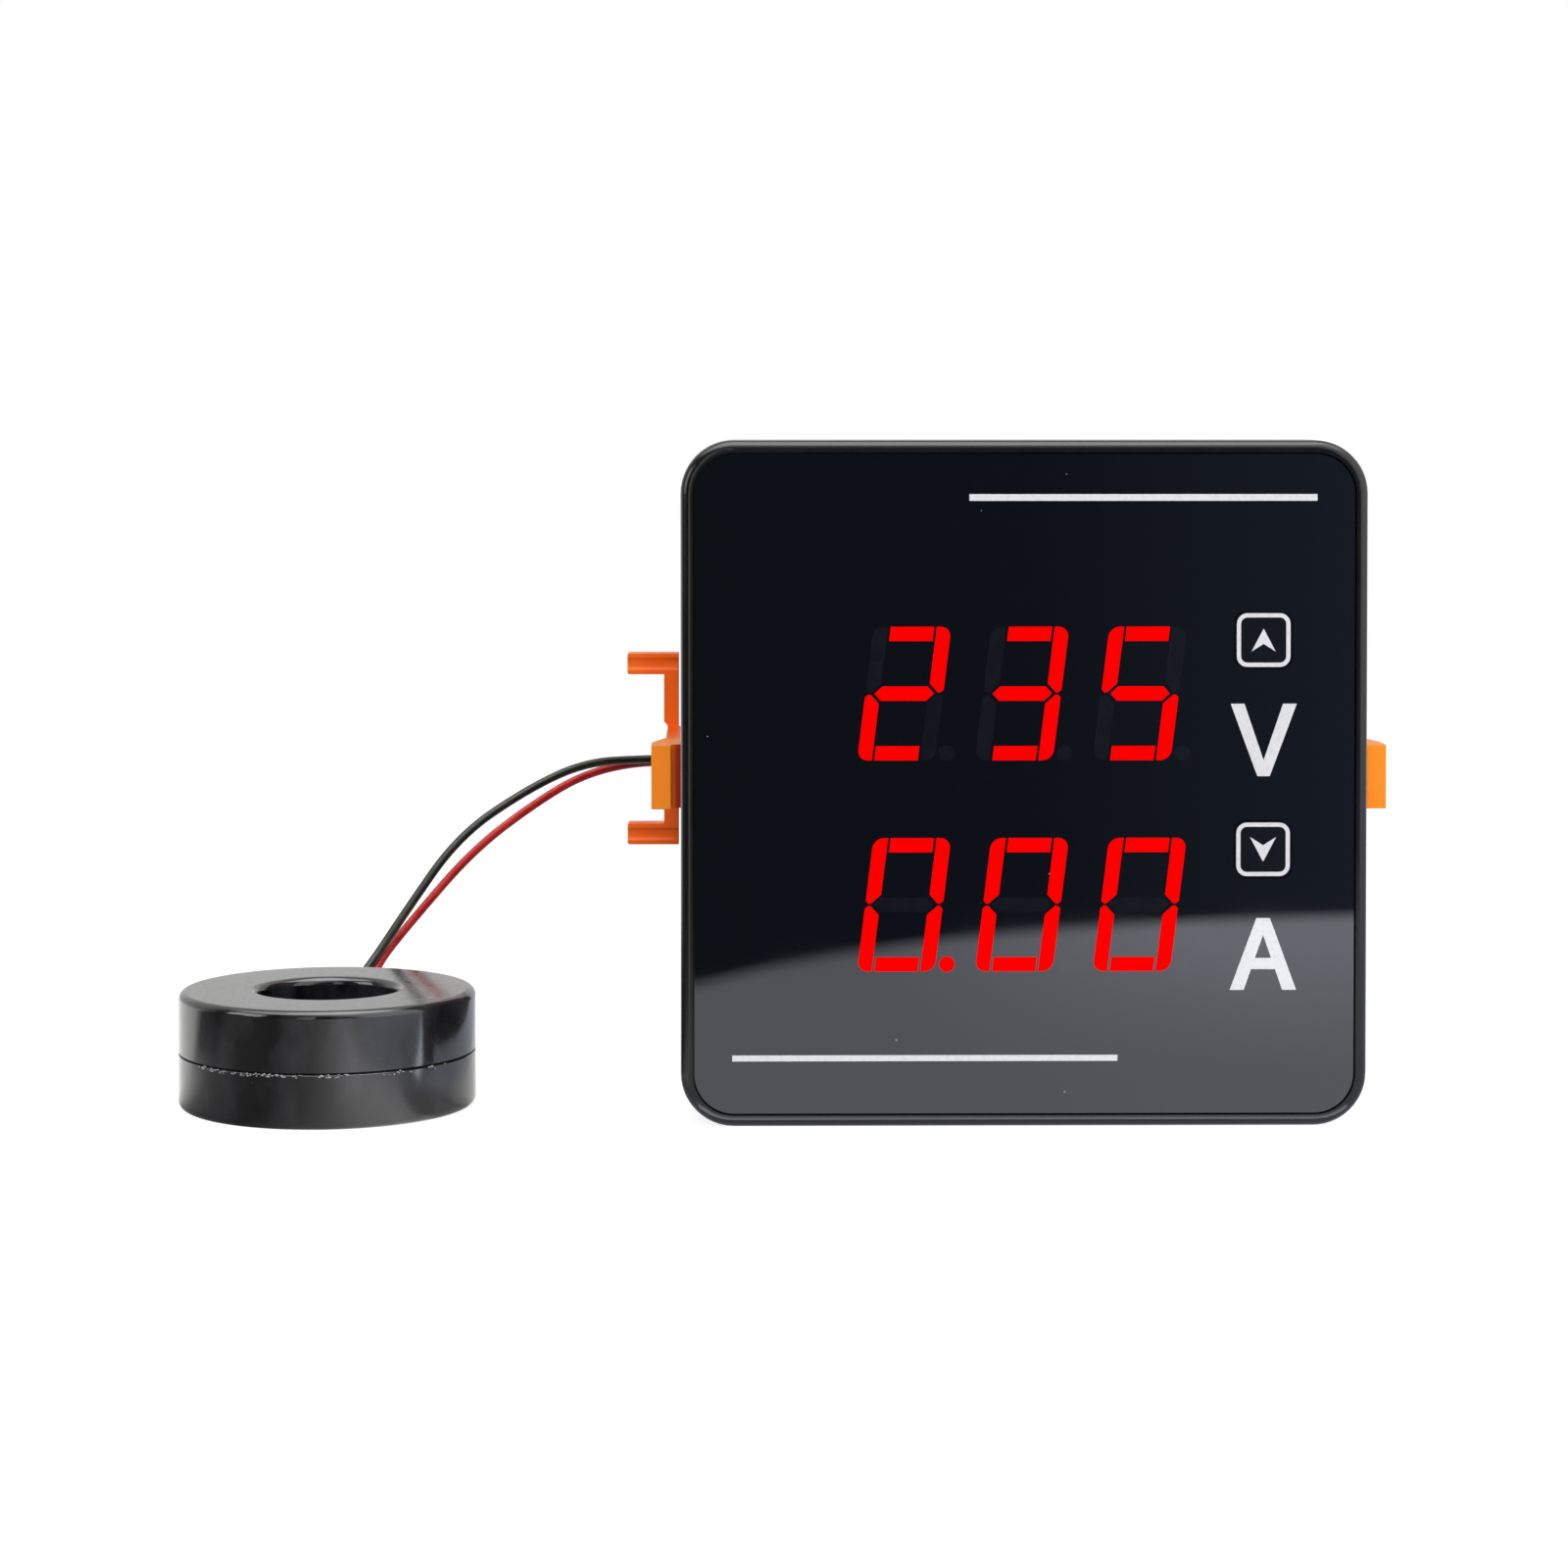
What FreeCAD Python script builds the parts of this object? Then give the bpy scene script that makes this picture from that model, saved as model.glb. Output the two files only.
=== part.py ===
import FreeCAD, Part
import math
import os

os.makedirs("parts", exist_ok=True)

# Frame of the model: X to the right, Y from the front face to the rear, Z up, in millimetres.
# The origin is the centre of the panel cut-out, in the plane of the front frame's rear face.
# The transformer ring lies on the surface that the front frame's lower edge stands on.

# Front frame. It overlaps the case all round, and its side comes to 72.
frame_overlap = 2.5
frame_depth = 7.0
frame_corner = 5.6
rim_width = 1.25
rim_round = 1.0
ledge_width = 2.2
ledge_thickness = 1.4
ledge_corner = 2.1

# Window
window_thickness = 1.6
window_gap = 0.2
window_drop = 0.1

# Case behind the panel. It is as wide as the switches and the clamp guides need, and comes to 67.
switch_clearance = 0.3
case_fit = 0.2
case_wall = 2.0
case_corner = 3.0
case_depth = 50.0
catch_width = 8.0
catch_height = 0.5
catch_length = 1.6
catch_offset = 15.0
catch_root = 0.5
vent_count = 7
vent_width = 1.6
vent_length = 14.0
vent_pitch = 4.4

# Clamp guides in the sides of the case
guide_lip = 1.4
guide_depth = 3.2
guide_mouth = 8.4
guide_width = 13.0
guide_floor = 2.0
guide_start = 1.8
rack_pitch = 2.0
rack_height = 0.8
rack_width = 4.0
rack_first = 14.0
rack_end = 2.0

# Panel clamps
clamp_clearance = 0.3
clamp_rest_gap = 0.6
foot_reach = 5.7
foot_height = 6.8
foot_thickness = 4.0
foot_ridge = 2.1
foot_step = 1.5
gusset_length = 5.0
rib_height = 4.8
rib_reach = 4.4
arm_flange = 1.2
grip_front = 33.3
grip_thickness = 3.0
grip_height = 22.0
web_reach = 4.8
web_thickness = 1.7
grip_notch_height = 6.3
finger_reach = 9.0
finger_height = 2.4
finger_round = 0.25
finger_hollow = 1.4
finger_hollow_depth = 0.35
pawl_teeth = 3
pawl_clearance = 0.15
slit_width = 0.6
slit_length = 15.0
slit_end = 1.0

# Keys and their switches
key_aside = 6.39
key_up_rise = 5.85
key_down_rise = 6.1
key_side = 5.9
key_corner = 1.15
key_gap = 0.1
key_flange = 7.2
key_flange_thickness = 0.8
key_travel = 0.35
key_stem_radius = 1.5
switch_side = 6.0
switch_height = 3.5
plunger_radius = 1.75
plunger_height = 1.5
plunger_depth = 1.0
plunger_clearance = 0.1
flange_play = 0.3

# Digit modules
digits_in_row = 3
module_margin = 0.15
module_border = 2.4
module_depth = 8.0
row_gap = 3.2
module_setback = 0.3
module_fit = 0.3
display_x = -0.14
rows_middle_z = -1.85
digit_pitch = 12.4
digit_width = 8.16
digit_height = 14.2
digit_slant = 7.0
upright_width = 1.52
bar_height = 1.66
segment_gap = 0.27
segment_depth = 1.2
segment_corner = 1.1
segment_tip = 0.95
segment_split = 0.24
middle_gap = 0.5
point_radius = 0.82
point_aside = 1.19
point_rise = 0.76
pin_side = 0.5
pin_pitch = 2.54
pin_rows_apart = 15.24
pins_in_row = 6
pin_tail = 1.2

# Boards
board_thickness = 1.6
board_clearance = 0.3
board_edge_gap = 1.0
post_inset = 3.0
main_board_y = 31.0
post_radius = 3.2
pilot_radius = 1.25
pilot_depth = 10.0
screw_shank_radius = 1.2
screw_head_radius = 2.6
screw_head_height = 1.8
screw_length = 9.0
head_bevel_share = 0.45
hole_clearance = 0.2
recess_width = 0.8
recess_depth = 0.8
recess_share = 0.62
chip_side = 10.0
chip_height = 1.6
chip_chamfer = 0.4
link_pins_count = 8
link_inset = 5.0
link_spacer_height = 2.5
link_spacer_width = 2.5
link_pin_side = 0.64

# Supply parts on the main board
core_width = 26.0
core_height = 22.0
core_depth = 9.0
core_leg = 5.0
coil_depth = 15.0
coil_clearance = 0.3
coil_round = 2.5
supply_x = -10.0
supply_drop = 18.9
supply_gap = 5.0
film_width = 13.0
film_height = 6.0
film_depth = 11.0
film_round = 0.75
film_rise = 7.1
can_radius = 4.0
can_height = 12.0
can_gap = 2.0
can_waist = 2.0
can_crimp = 0.5

# Rear cover
cover_thickness = 2.0
cover_lip = 1.5
cover_lip_length = 40.0
cover_lip_depth = 2.0
cover_fit = 0.2
cover_vent_drop = 20.5

# Terminal strip
ways = 4
way_pitch = 8.0
barrier = 1.6
strip_height = 14.0
strip_z = 10.5
strip_seat = 1.2
barrier_height = 5.0
strip_flange = 1.6
strip_flange_depth = 2.0
strip_root = 6.0
plate_thickness = 0.8
plate_width = 6.0
plate_length = 9.6
plate_offset = 0.6
solder_pin_width = 1.0
solder_pin_inset = 0.8
solder_tail = 1.5
terminal_screw_up = 6.2
terminal_shank_radius = 1.5
terminal_shank_length = 7.5
terminal_head_radius = 2.8
terminal_head_height = 2.0
washer_side = 5.8
washer_corner = 0.7
washer_thickness = 0.8
lug_thickness = 0.7
lug_width = 5.6
lug_slot = 3.3
lug_barrel_radius = 1.0
lug_barrel_length = 4.0
lug_neck = 1.2
lug_drop = 1.8
first_lead_way = 1

# Transformer ring. What it holds gives its outside, which comes to 32 across and 12.5 high.
ring_x = -74.4
ring_y = 7.6
ring_bore = 7.5
ring_core_width = 3.0
ring_core_height = 7.45
ring_seam = 5.9
ring_wall = 1.5
ring_floor = 1.4
ring_round = 0.8
seam_groove = 0.15
winding_gap = 0.25
winding_thickness = 1.0
lead_hole_clearance = 0.12
lead_exit_rise = 2.7
lead_exit_spread = 1.6
lead_exit_offset = 2.2

# Leads
lead_diameter = 1.0

# Places worked out from the sizes
module_width = digits_in_row * digit_pitch + 2 * module_margin
module_height = digit_height + 2 * module_border
key_x = display_x + module_width / 2 + key_aside
guide_back_u = key_x + switch_side / 2 + switch_clearance
guide_floor_u = guide_back_u + guide_floor
case_half = guide_floor_u + guide_depth
case_side = 2 * case_half
frame_side = case_side + 2 * frame_overlap
face_y = -frame_depth
window_front_y = face_y + window_drop
window_back_y = window_front_y + window_thickness
ledge_back_y = window_back_y + ledge_thickness
recess_side = frame_side - 2 * rim_width
recess_corner = frame_corner - rim_width
window_side = recess_side - 2 * window_gap
ledge_side = recess_side - 2 * ledge_width
cavity_side = case_side + 2 * case_fit
table_z = -frame_side / 2
case_inner = case_side - 2 * case_wall
case_rear_y = case_depth
cover_back_y = case_rear_y + cover_thickness
guide_lip_u = case_half - guide_lip
guide_boss = guide_width / 2 + case_wall
rack_crest_u = guide_floor_u + rack_height
rack_teeth = math.floor((case_depth - rack_end - rack_first) / rack_pitch)
foot_outer = case_half + foot_reach
rib_outer = case_half + rib_reach
web_outer = case_half + web_reach
web_inner = web_outer - web_thickness
finger_outer = case_half + finger_reach
volts_z = rows_middle_z + (module_height + row_gap) / 2
amps_z = rows_middle_z - (module_height + row_gap) / 2
point_x = digit_width / 2 + point_aside
point_z = point_rise - digit_height / 2
key_up_z = volts_z + key_up_rise
key_down_z = amps_z + key_down_rise
module_front_y = window_back_y + module_setback
board_front_y = module_front_y + module_depth
board_back_y = board_front_y + board_thickness
main_back_y = main_board_y + board_thickness
board_side = case_inner - 2 * board_edge_gap
board_screw_place = case_inner / 2 - post_inset
link_z = link_inset - board_side / 2
seat_y = cover_back_y + strip_seat
barrier_top_y = seat_y + barrier_height
strip_bottom_z = strip_z - strip_height / 2
strip_top_z = strip_z + strip_height / 2
strip_width = ways * way_pitch + barrier
terminal_screw_z = strip_bottom_z + terminal_screw_up
plate_low_z = strip_bottom_z + plate_offset
solder_pin_z = plate_low_z + plate_length - solder_pin_inset
supply_z = solder_pin_z - supply_drop
film_x = supply_x + core_width / 2 + supply_gap + film_width / 2
film_z = solder_pin_z + film_rise
cover_vent_z = strip_bottom_z - cover_vent_drop
winding_inner = ring_bore + ring_wall + winding_gap
winding_outer = winding_inner + ring_core_width + 2 * winding_thickness
winding_low_z = table_z + ring_floor
winding_high_z = winding_low_z + ring_core_height + 2 * winding_thickness
ring_radius = winding_outer + winding_gap + ring_wall
ring_top_z = winding_high_z + winding_gap + ring_floor
seam_z = table_z + ring_seam
lead_exit_z = seam_z + lead_exit_rise


def vec(x, y, z):
    return FreeCAD.Vector(x, y, z)


def block(x, y, z):
    """A box from three (low, high) pairs."""
    size = [pair[1] - pair[0] for pair in (x, y, z)]
    return Part.makeBox(size[0], size[1], size[2], vec(x[0], y[0], z[0]))


def cylinder_y(x, z, radius, front, back):
    return Part.makeCylinder(radius, back - front, vec(x, front, z), vec(0, 1, 0))


def cylinder_z(x, y, radius, low, high):
    return Part.makeCylinder(radius, high - low, vec(x, y, low), vec(0, 0, 1))


def edges_along(shape, direction):
    """The straight edges of a shape that run along one direction."""
    found = []
    for edge in shape.Edges:
        if len(edge.Vertexes) != 2:
            continue
        run = edge.Vertexes[1].Point.sub(edge.Vertexes[0].Point)
        if run.Length > 1e-6 and abs(abs(run.normalize().dot(direction)) - 1) < 1e-6:
            found.append(edge)
    return found


def edges_at_y(shape, y):
    """The edges of a shape that lie in the plane at one Y."""
    return [e for e in shape.Edges if all(abs(v.Y - y) < 1e-6 for v in e.Vertexes)]


def rounded_plate(side, corner, front, back, height=None, x=0.0, z=0.0):
    """A plate that faces the front, with its four corners rounded."""
    tall = side if height is None else height
    plate = block((x - side / 2, x + side / 2), (front, back), (z - tall / 2, z + tall / 2))
    return plate.makeFillet(corner, edges_along(plate, vec(0, 1, 0)))


def prism(steps, front, depth):
    """A prism along Y. Each step is a point (x, z), or an arc's middle and end points."""
    here = vec(steps[0][0], front, steps[0][1])
    first = here
    edges = []
    for step in list(steps[1:]) + [steps[0]]:
        if isinstance(step[0], tuple):
            middle = vec(step[0][0], front, step[0][1])
            there = vec(step[1][0], front, step[1][1])
            edges.append(Part.Arc(here, middle, there).toShape())
        else:
            there = first if step is steps[0] else vec(step[0], front, step[1])
            edges.append(Part.LineSegment(here, there).toShape())
        here = there
    return Part.Face(Part.Wire(edges)).extrude(vec(0, depth, 0))


def side_prism(points, low, high):
    """A prism along Z over an outline of (u, y) points, where u is measured out from the middle."""
    corners = [vec(u, y, low) for u, y in points]
    face = Part.Face(Part.makePolygon(corners + [corners[0]]))
    return face.extrude(vec(0, 0, high - low))


def mirrored_x(shape):
    return shape.mirror(vec(0, 0, 0), vec(1, 0, 0))


def joined(shapes):
    whole = shapes[0]
    for shape in shapes[1:]:
        whole = whole.fuse(shape)
    return whole.removeSplitter()


def write(node, shapes):
    """Writes one node, as one solid or as a group of separate solids."""
    solids = [solid for shape in shapes for solid in shape.Solids]
    whole = solids[0] if len(solids) == 1 else Part.makeCompound(solids)
    whole.exportStep("parts/" + node + ".step")
    print(node, len(solids), "solids", round(sum(s.Volume for s in solids), 2), "mm3", whole.isValid())


def corner_places(half):
    return [(x, z) for x in (-half, half) for z in (-half, half)]


# Front frame, window and mask

def catch_places():
    return [(x, side) for x in (-catch_offset, catch_offset) for side in (-1, 1)]


def catch(x, side, reach, clearance):
    """A snap catch on the top or bottom of the case, or with a clearance the pocket for it."""
    front = (ledge_back_y - catch_length) / 2
    low = case_half - catch_root
    outline = [
        (low, front - clearance),
        (case_half, front - clearance),
        (case_half + reach, front + catch_length - clearance),
        (case_half + reach, front + catch_length + clearance),
        (low, front + catch_length + clearance),
    ]
    half = catch_width / 2 + clearance
    corners = [vec(x - half, y, side * z) for z, y in outline]
    face = Part.Face(Part.makePolygon(corners + [corners[0]]))
    return face.extrude(vec(2 * half, 0, 0))


def front_frame():
    frame = rounded_plate(frame_side, frame_corner, face_y, 0)
    frame = frame.makeFillet(rim_round, edges_at_y(frame, face_y))
    frame = frame.cut(rounded_plate(recess_side, recess_corner, face_y - 1, window_back_y))
    frame = frame.cut(rounded_plate(ledge_side, ledge_corner, face_y - 1, ledge_back_y))
    frame = frame.cut(rounded_plate(cavity_side, case_corner + case_fit, ledge_back_y, 1))
    for x, side in catch_places():
        frame = frame.cut(catch(x, side, catch_height + case_fit, case_fit))
    return frame


def front_window():
    corner = recess_corner - window_gap
    window = rounded_plate(window_side, corner, window_front_y, window_back_y)
    opening = key_side + 2 * key_gap
    for z in (key_up_z, key_down_z):
        corner = key_corner + key_gap
        window = window.cut(rounded_plate(opening, corner, face_y - 1, ledge_back_y, x=key_x, z=z))
    return window


def inner_mask():
    side = ledge_side - 2 * window_gap
    mask = rounded_plate(side, ledge_corner - window_gap, window_back_y, ledge_back_y)
    for z in (volts_z, amps_z):
        opening = block(
            (display_x - module_width / 2 - module_fit, display_x + module_width / 2 + module_fit),
            (window_back_y - 1, ledge_back_y + 1),
            (z - module_height / 2 - module_fit, z + module_height / 2 + module_fit),
        )
        mask = mask.cut(opening)
    for z in (key_up_z, key_down_z):
        half = key_flange / 2 + flange_play
        well = block((key_x - half, key_x + half), (window_back_y - 1, ledge_back_y + 1),
                     (z - half, z + half))
        mask = mask.cut(well)
    return mask


# Keys

def key_cap(z):
    cap = rounded_plate(key_side, key_corner, window_front_y, window_back_y, x=key_x, z=z)
    flange_back_y = window_back_y + key_flange_thickness
    flange = rounded_plate(key_flange, key_corner, window_back_y, flange_back_y, x=key_x, z=z)
    stem = cylinder_y(key_x, z, key_stem_radius, flange_back_y, plunger_top_y())
    return joined([cap, flange, stem])


def switch_front_y():
    return board_front_y - switch_height


def plunger_top_y():
    return switch_front_y() - plunger_height


def switch_plunger(z):
    return cylinder_y(key_x, z, plunger_radius, plunger_top_y(), switch_front_y() + plunger_depth)


def switch_body(z):
    half = switch_side / 2
    body = block((key_x - half, key_x + half), (switch_front_y(), board_front_y),
                 (z - half, z + half))
    well_radius = plunger_radius + plunger_clearance
    well_back = switch_front_y() + plunger_depth + key_travel + plunger_clearance
    return body.cut(cylinder_y(key_x, z, well_radius, switch_front_y() - 1, well_back))


# Digit modules

def slanted(x, z):
    return (x + z * math.tan(math.radians(digit_slant)), z)


def upright_outline():
    """The upper right upright of a digit, before it leans."""
    outer = digit_width / 2
    inner = outer - upright_width
    top = digit_height / 2
    low = segment_split / 2
    blunt = (upright_width - segment_tip) / 2
    bend = segment_corner * (1 - math.sqrt(0.5))
    return [
        (inner, top),
        (outer - segment_corner, top),
        ((outer - bend, top - bend), (outer, top - segment_corner)),
        (outer, low + blunt),
        (outer - blunt, low),
        (inner + segment_tip, low),
        (inner, low + segment_tip),
    ]


def bar_outline():
    """The top bar of a digit, between its uprights."""
    half = digit_width / 2 - upright_width - segment_gap
    top = digit_height / 2
    return [(-half, top), (half, top), (half, top - bar_height), (-half, top - bar_height)]


def middle_outline():
    """The middle bar of a digit, pointed at both ends."""
    half_height = bar_height / 2
    line = digit_width / 2 - upright_width + segment_split / 2 + segment_tip - middle_gap
    return [
        (line, 0),
        (line - half_height, half_height),
        (half_height - line, half_height),
        (-line, 0),
        (half_height - line, -half_height),
        (line - half_height, -half_height),
    ]


def turned(outline, flip_x, flip_z):
    """An outline mirrored within its digit."""
    def turn(point):
        return (point[0] * flip_x, point[1] * flip_z)
    return [tuple(turn(p) for p in s) if isinstance(s[0], tuple) else turn(s) for s in outline]


def placed(outline, x, z):
    """An outline leant over and moved to its digit's centre."""
    def place(point):
        px, pz = slanted(point[0], point[1])
        return (px + x, pz + z)
    return [tuple(place(p) for p in s) if isinstance(s[0], tuple) else place(s) for s in outline]


def digit_segments(x, z):
    outlines = [turned(upright_outline(), fx, fz) for fx in (-1, 1) for fz in (-1, 1)]
    outlines += [turned(bar_outline(), 1, fz) for fz in (-1, 1)]
    outlines.append(middle_outline())
    segments = [prism(placed(o, x, z), module_front_y, segment_depth) for o in outlines]
    px, pz = slanted(point_x, point_z)
    point_back_y = module_front_y + segment_depth
    segments.append(cylinder_y(x + px, z + pz, point_radius, module_front_y, point_back_y))
    return segments


def row_segments(z):
    first = display_x - digit_pitch * (digits_in_row - 1) / 2
    places = [first + step * digit_pitch for step in range(digits_in_row)]
    return [segment for x in places for segment in digit_segments(x, z)]


def display_housing(z, segments):
    housing = block(
        (display_x - module_width / 2, display_x + module_width / 2),
        (module_front_y, board_front_y),
        (z - module_height / 2, z + module_height / 2),
    )
    return housing.cut(Part.makeCompound(segments))


def pin_places(z):
    first = display_x - pin_pitch * (pins_in_row - 1) / 2
    rows = (z - pin_rows_apart / 2, z + pin_rows_apart / 2)
    return [(first + step * pin_pitch, row) for step in range(pins_in_row) for row in rows]


def display_pins():
    pins = []
    for x, z in pin_places(volts_z) + pin_places(amps_z):
        half = pin_side / 2
        pins.append(block((x - half, x + half), (board_front_y, board_back_y + pin_tail),
                          (z - half, z + half)))
    return pins


# Boards

def board(front):
    """A circuit board with its sides cut back beside the clamp guides."""
    half = board_side / 2
    back = front + board_thickness
    plate = block((-half, half), (front, back), (-half, half))
    notch_u = guide_back_u - board_clearance
    notch_z = guide_boss + board_clearance
    for side in (-1, 1):
        x = sorted((side * notch_u, side * board_side))
        plate = plate.cut(block(x, (front - 1, back + 1), (-notch_z, notch_z)))
    return plate


def square_holes(plate, places, side, front, back):
    half = side / 2
    for x, z in places:
        plate = plate.cut(block((x - half, x + half), (front, back), (z - half, z + half)))
    return plate


def link_places():
    first = -pin_pitch * (link_pins_count - 1) / 2
    return [(first + step * pin_pitch, link_z) for step in range(link_pins_count)]


def display_board():
    plate = board(board_front_y)
    for x, z in corner_places(board_screw_place):
        hole = screw_shank_radius + hole_clearance
        plate = plate.cut(cylinder_y(x, z, hole, board_front_y - 1, board_back_y + 1))
    plate = square_holes(plate, pin_places(volts_z) + pin_places(amps_z), pin_side,
                         board_front_y - 1, board_back_y + 1)
    return square_holes(plate, link_places(), link_pin_side, board_front_y - 1, board_back_y + 1)


def main_board():
    plate = board(main_board_y)
    corner = board_screw_place - post_radius - board_clearance
    for sx in (-1, 1):
        for sz in (-1, 1):
            x = sorted((sx * corner, sx * board_side))
            z = sorted((sz * corner, sz * board_side))
            plate = plate.cut(block(x, (main_board_y - 1, main_back_y + 1), z))
    plate = square_holes(plate, link_places(), link_pin_side, main_board_y - 1, main_back_y + 1)
    for x in way_centres():
        plate = plate.cut(solder_pin(x, main_board_y - 1, main_back_y + 1))
    return plate


def pan_screw(x, z, head_y, towards, shank_radius, shank_length, head_radius, head_height):
    """A pan head screw with a cross recess. Its head's seat is at head_y."""
    top = head_y - towards * head_height
    head = cylinder_y(x, z, head_radius, min(head_y, top), max(head_y, top))
    head = head.makeChamfer(head_height * head_bevel_share, edges_at_y(head, top))
    tip = head_y + towards * shank_length
    shank = cylinder_y(x, z, shank_radius, min(head_y, tip), max(head_y, tip))
    floor = top + towards * recess_depth
    span = (min(top - towards, floor), max(top - towards, floor))
    reach = head_radius * recess_share
    half = recess_width / 2
    across = block((x - reach, x + reach), span, (z - half, z + half))
    upright = block((x - half, x + half), span, (z - reach, z + reach))
    return head.fuse(shank).cut(across).cut(upright)


def case_screw(x, z, head_y, towards):
    """One of the screws that hold the display board and the rear cover to the corner posts."""
    return pan_screw(x, z, head_y, towards, screw_shank_radius, screw_length,
                     screw_head_radius, screw_head_height)


def display_screws():
    return [case_screw(x, z, board_front_y, 1) for x, z in corner_places(board_screw_place)]


def controller_chip():
    """The chip, on the back of the display board between the pin rows of the lower module."""
    half = chip_side / 2
    back = board_back_y + chip_height
    chip = block((display_x - half, display_x + half), (board_back_y, back), (amps_z - half, amps_z + half))
    return chip.makeChamfer(chip_chamfer, edges_at_y(chip, back))


def link_spacers():
    length = pin_pitch * link_pins_count
    half = link_spacer_width / 2
    spacers = []
    spans = (
        (board_back_y, board_back_y + link_spacer_height),
        (main_board_y - link_spacer_height, main_board_y),
    )
    for front, back in spans:
        strip = block((-length / 2, length / 2), (front, back), (link_z - half, link_z + half))
        spacers.append(square_holes(strip, link_places(), link_pin_side, front - 1, back + 1))
    return spacers


def link_pins():
    half = link_pin_side / 2
    span = (board_front_y, main_back_y + pin_tail)
    return [block((x - half, x + half), span, (z - half, z + half)) for x, z in link_places()]


# Supply parts

def transformer_core():
    """An E and I lamination stack, with a window each side of the centre leg."""
    centre_y = main_board_y - coil_depth / 2
    x = (supply_x - core_width / 2, supply_x + core_width / 2)
    y = (centre_y - core_depth / 2, centre_y + core_depth / 2)
    z = (supply_z - core_height / 2, supply_z + core_height / 2)
    core = block(x, y, z)
    for inner, outer in ((-1, x[0] + core_leg), (1, x[1] - core_leg)):
        edge = supply_x + inner * core_leg
        span = sorted((edge, outer))
        core = core.cut(block(span, (y[0] - 1, y[1] + 1), (z[0] + core_leg, z[1] - core_leg)))
    return core


def transformer_coil():
    """The winding on its bobbin, round the centre leg."""
    centre_y = main_board_y - coil_depth / 2
    half_x = core_width / 2 - core_leg - coil_clearance
    half_z = core_height / 2 - core_leg - coil_clearance
    coil = block((supply_x - half_x, supply_x + half_x), (main_board_y - coil_depth, main_board_y),
                 (supply_z - half_z, supply_z + half_z))
    coil = coil.makeFillet(coil_round, edges_along(coil, vec(0, 0, 1)))
    leg = core_leg + coil_clearance
    slot_y = core_depth / 2 + coil_clearance
    return coil.cut(block((supply_x - leg, supply_x + leg), (centre_y - slot_y, centre_y + slot_y),
                          (supply_z - core_height, supply_z + core_height)))


def film_capacitor():
    half_x = film_width / 2
    half_z = film_height / 2
    body = block((film_x - half_x, film_x + half_x), (main_board_y - film_depth, main_board_y),
                 (film_z - half_z, film_z + half_z))
    return body.makeFillet(film_round, edges_along(body, vec(0, 1, 0)))


def electrolytic_capacitors():
    """Two cans below the film capacitor, each with a crimped waist near the board."""
    cans = []
    offset = can_radius + can_gap / 2
    for z in (supply_z - offset, supply_z + offset):
        can = cylinder_y(film_x, z, can_radius, main_board_y - can_height, main_board_y)
        waist = vec(film_x, main_board_y - can_waist, z)
        root = can_radius - can_crimp
        front = Part.makeCone(can_radius, root, can_crimp, waist - vec(0, can_crimp, 0), vec(0, 1, 0))
        back = Part.makeCone(root, can_radius, can_crimp, waist, vec(0, 1, 0))
        sleeve = cylinder_y(film_x, z, can_radius + 1, waist.y - can_crimp, waist.y + can_crimp)
        cans.append(can.cut(sleeve.cut(front).cut(back)))
    return cans


# Case

def guide_boss_block():
    """The thick part of the right side wall that the guide is sunk into."""
    front = guide_start - case_wall
    return block((guide_back_u, case_half), (front, case_rear_y), (-guide_boss, guide_boss))


def guide_slot():
    """The T shaped guide in the right side wall, open to the rear."""
    span = (guide_start, cover_back_y + 1)
    head = block((guide_floor_u, guide_lip_u), span, (-guide_width / 2, guide_width / 2))
    mouth = block((guide_floor_u, case_half + 1), span, (-guide_mouth / 2, guide_mouth / 2))
    return head.fuse(mouth)


def saw_teeth(first, count, root_u, crest_u, width):
    """A row of saw teeth along Y, from a root line to a crest line."""
    points = [(root_u, first)]
    for step in range(count):
        start = first + step * rack_pitch
        points.append((crest_u, start + rack_pitch))
        points.append((root_u, start + rack_pitch))
    sunk = root_u - (crest_u - root_u) / 2
    points += [(sunk, first + count * rack_pitch), (sunk, first)]
    return side_prism(points, -width / 2, width / 2)


def case_shell():
    shell = rounded_plate(case_side, case_corner, ledge_back_y, case_rear_y)
    inner_corner = case_corner - case_wall
    shell = shell.cut(rounded_plate(case_inner, inner_corner, ledge_back_y - 1, case_rear_y + 1))
    rack = saw_teeth(rack_first, rack_teeth, guide_floor_u, rack_crest_u, rack_width)
    for flip in (lambda s: s, mirrored_x):
        shell = shell.fuse(flip(guide_boss_block()))
        shell = shell.cut(flip(guide_slot()))
        shell = shell.fuse(flip(rack))
    for x, z in corner_places(board_screw_place):
        shell = shell.fuse(corner_post(x, z))
    for x, z in corner_places(board_screw_place):
        shell = shell.cut(cylinder_y(x, z, pilot_radius, board_back_y - 1, board_back_y + pilot_depth))
        shell = shell.cut(cylinder_y(x, z, pilot_radius, case_rear_y - pilot_depth, case_rear_y + 1))
    for x, side in catch_places():
        shell = shell.fuse(catch(x, side, catch_height, 0))
    first = -vent_pitch * (vent_count - 1) / 2
    vent_middle = (board_back_y + case_rear_y) / 2
    for step in range(vent_count):
        x = first + step * vent_pitch
        half = vent_width / 2
        span = (vent_middle - vent_length / 2, vent_middle + vent_length / 2)
        shell = shell.cut(block((x - half, x + half), span, (-case_side, case_side)))
    return shell.removeSplitter()


def corner_post(x, z):
    """A screw post that runs along a corner of the case, from board to rear."""
    post = cylinder_y(x, z, post_radius, board_back_y, case_rear_y)
    limit = case_half - case_wall / 2
    return post.common(block((-limit, limit), (board_back_y, case_rear_y), (-limit, limit)))


# Rear cover

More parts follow.
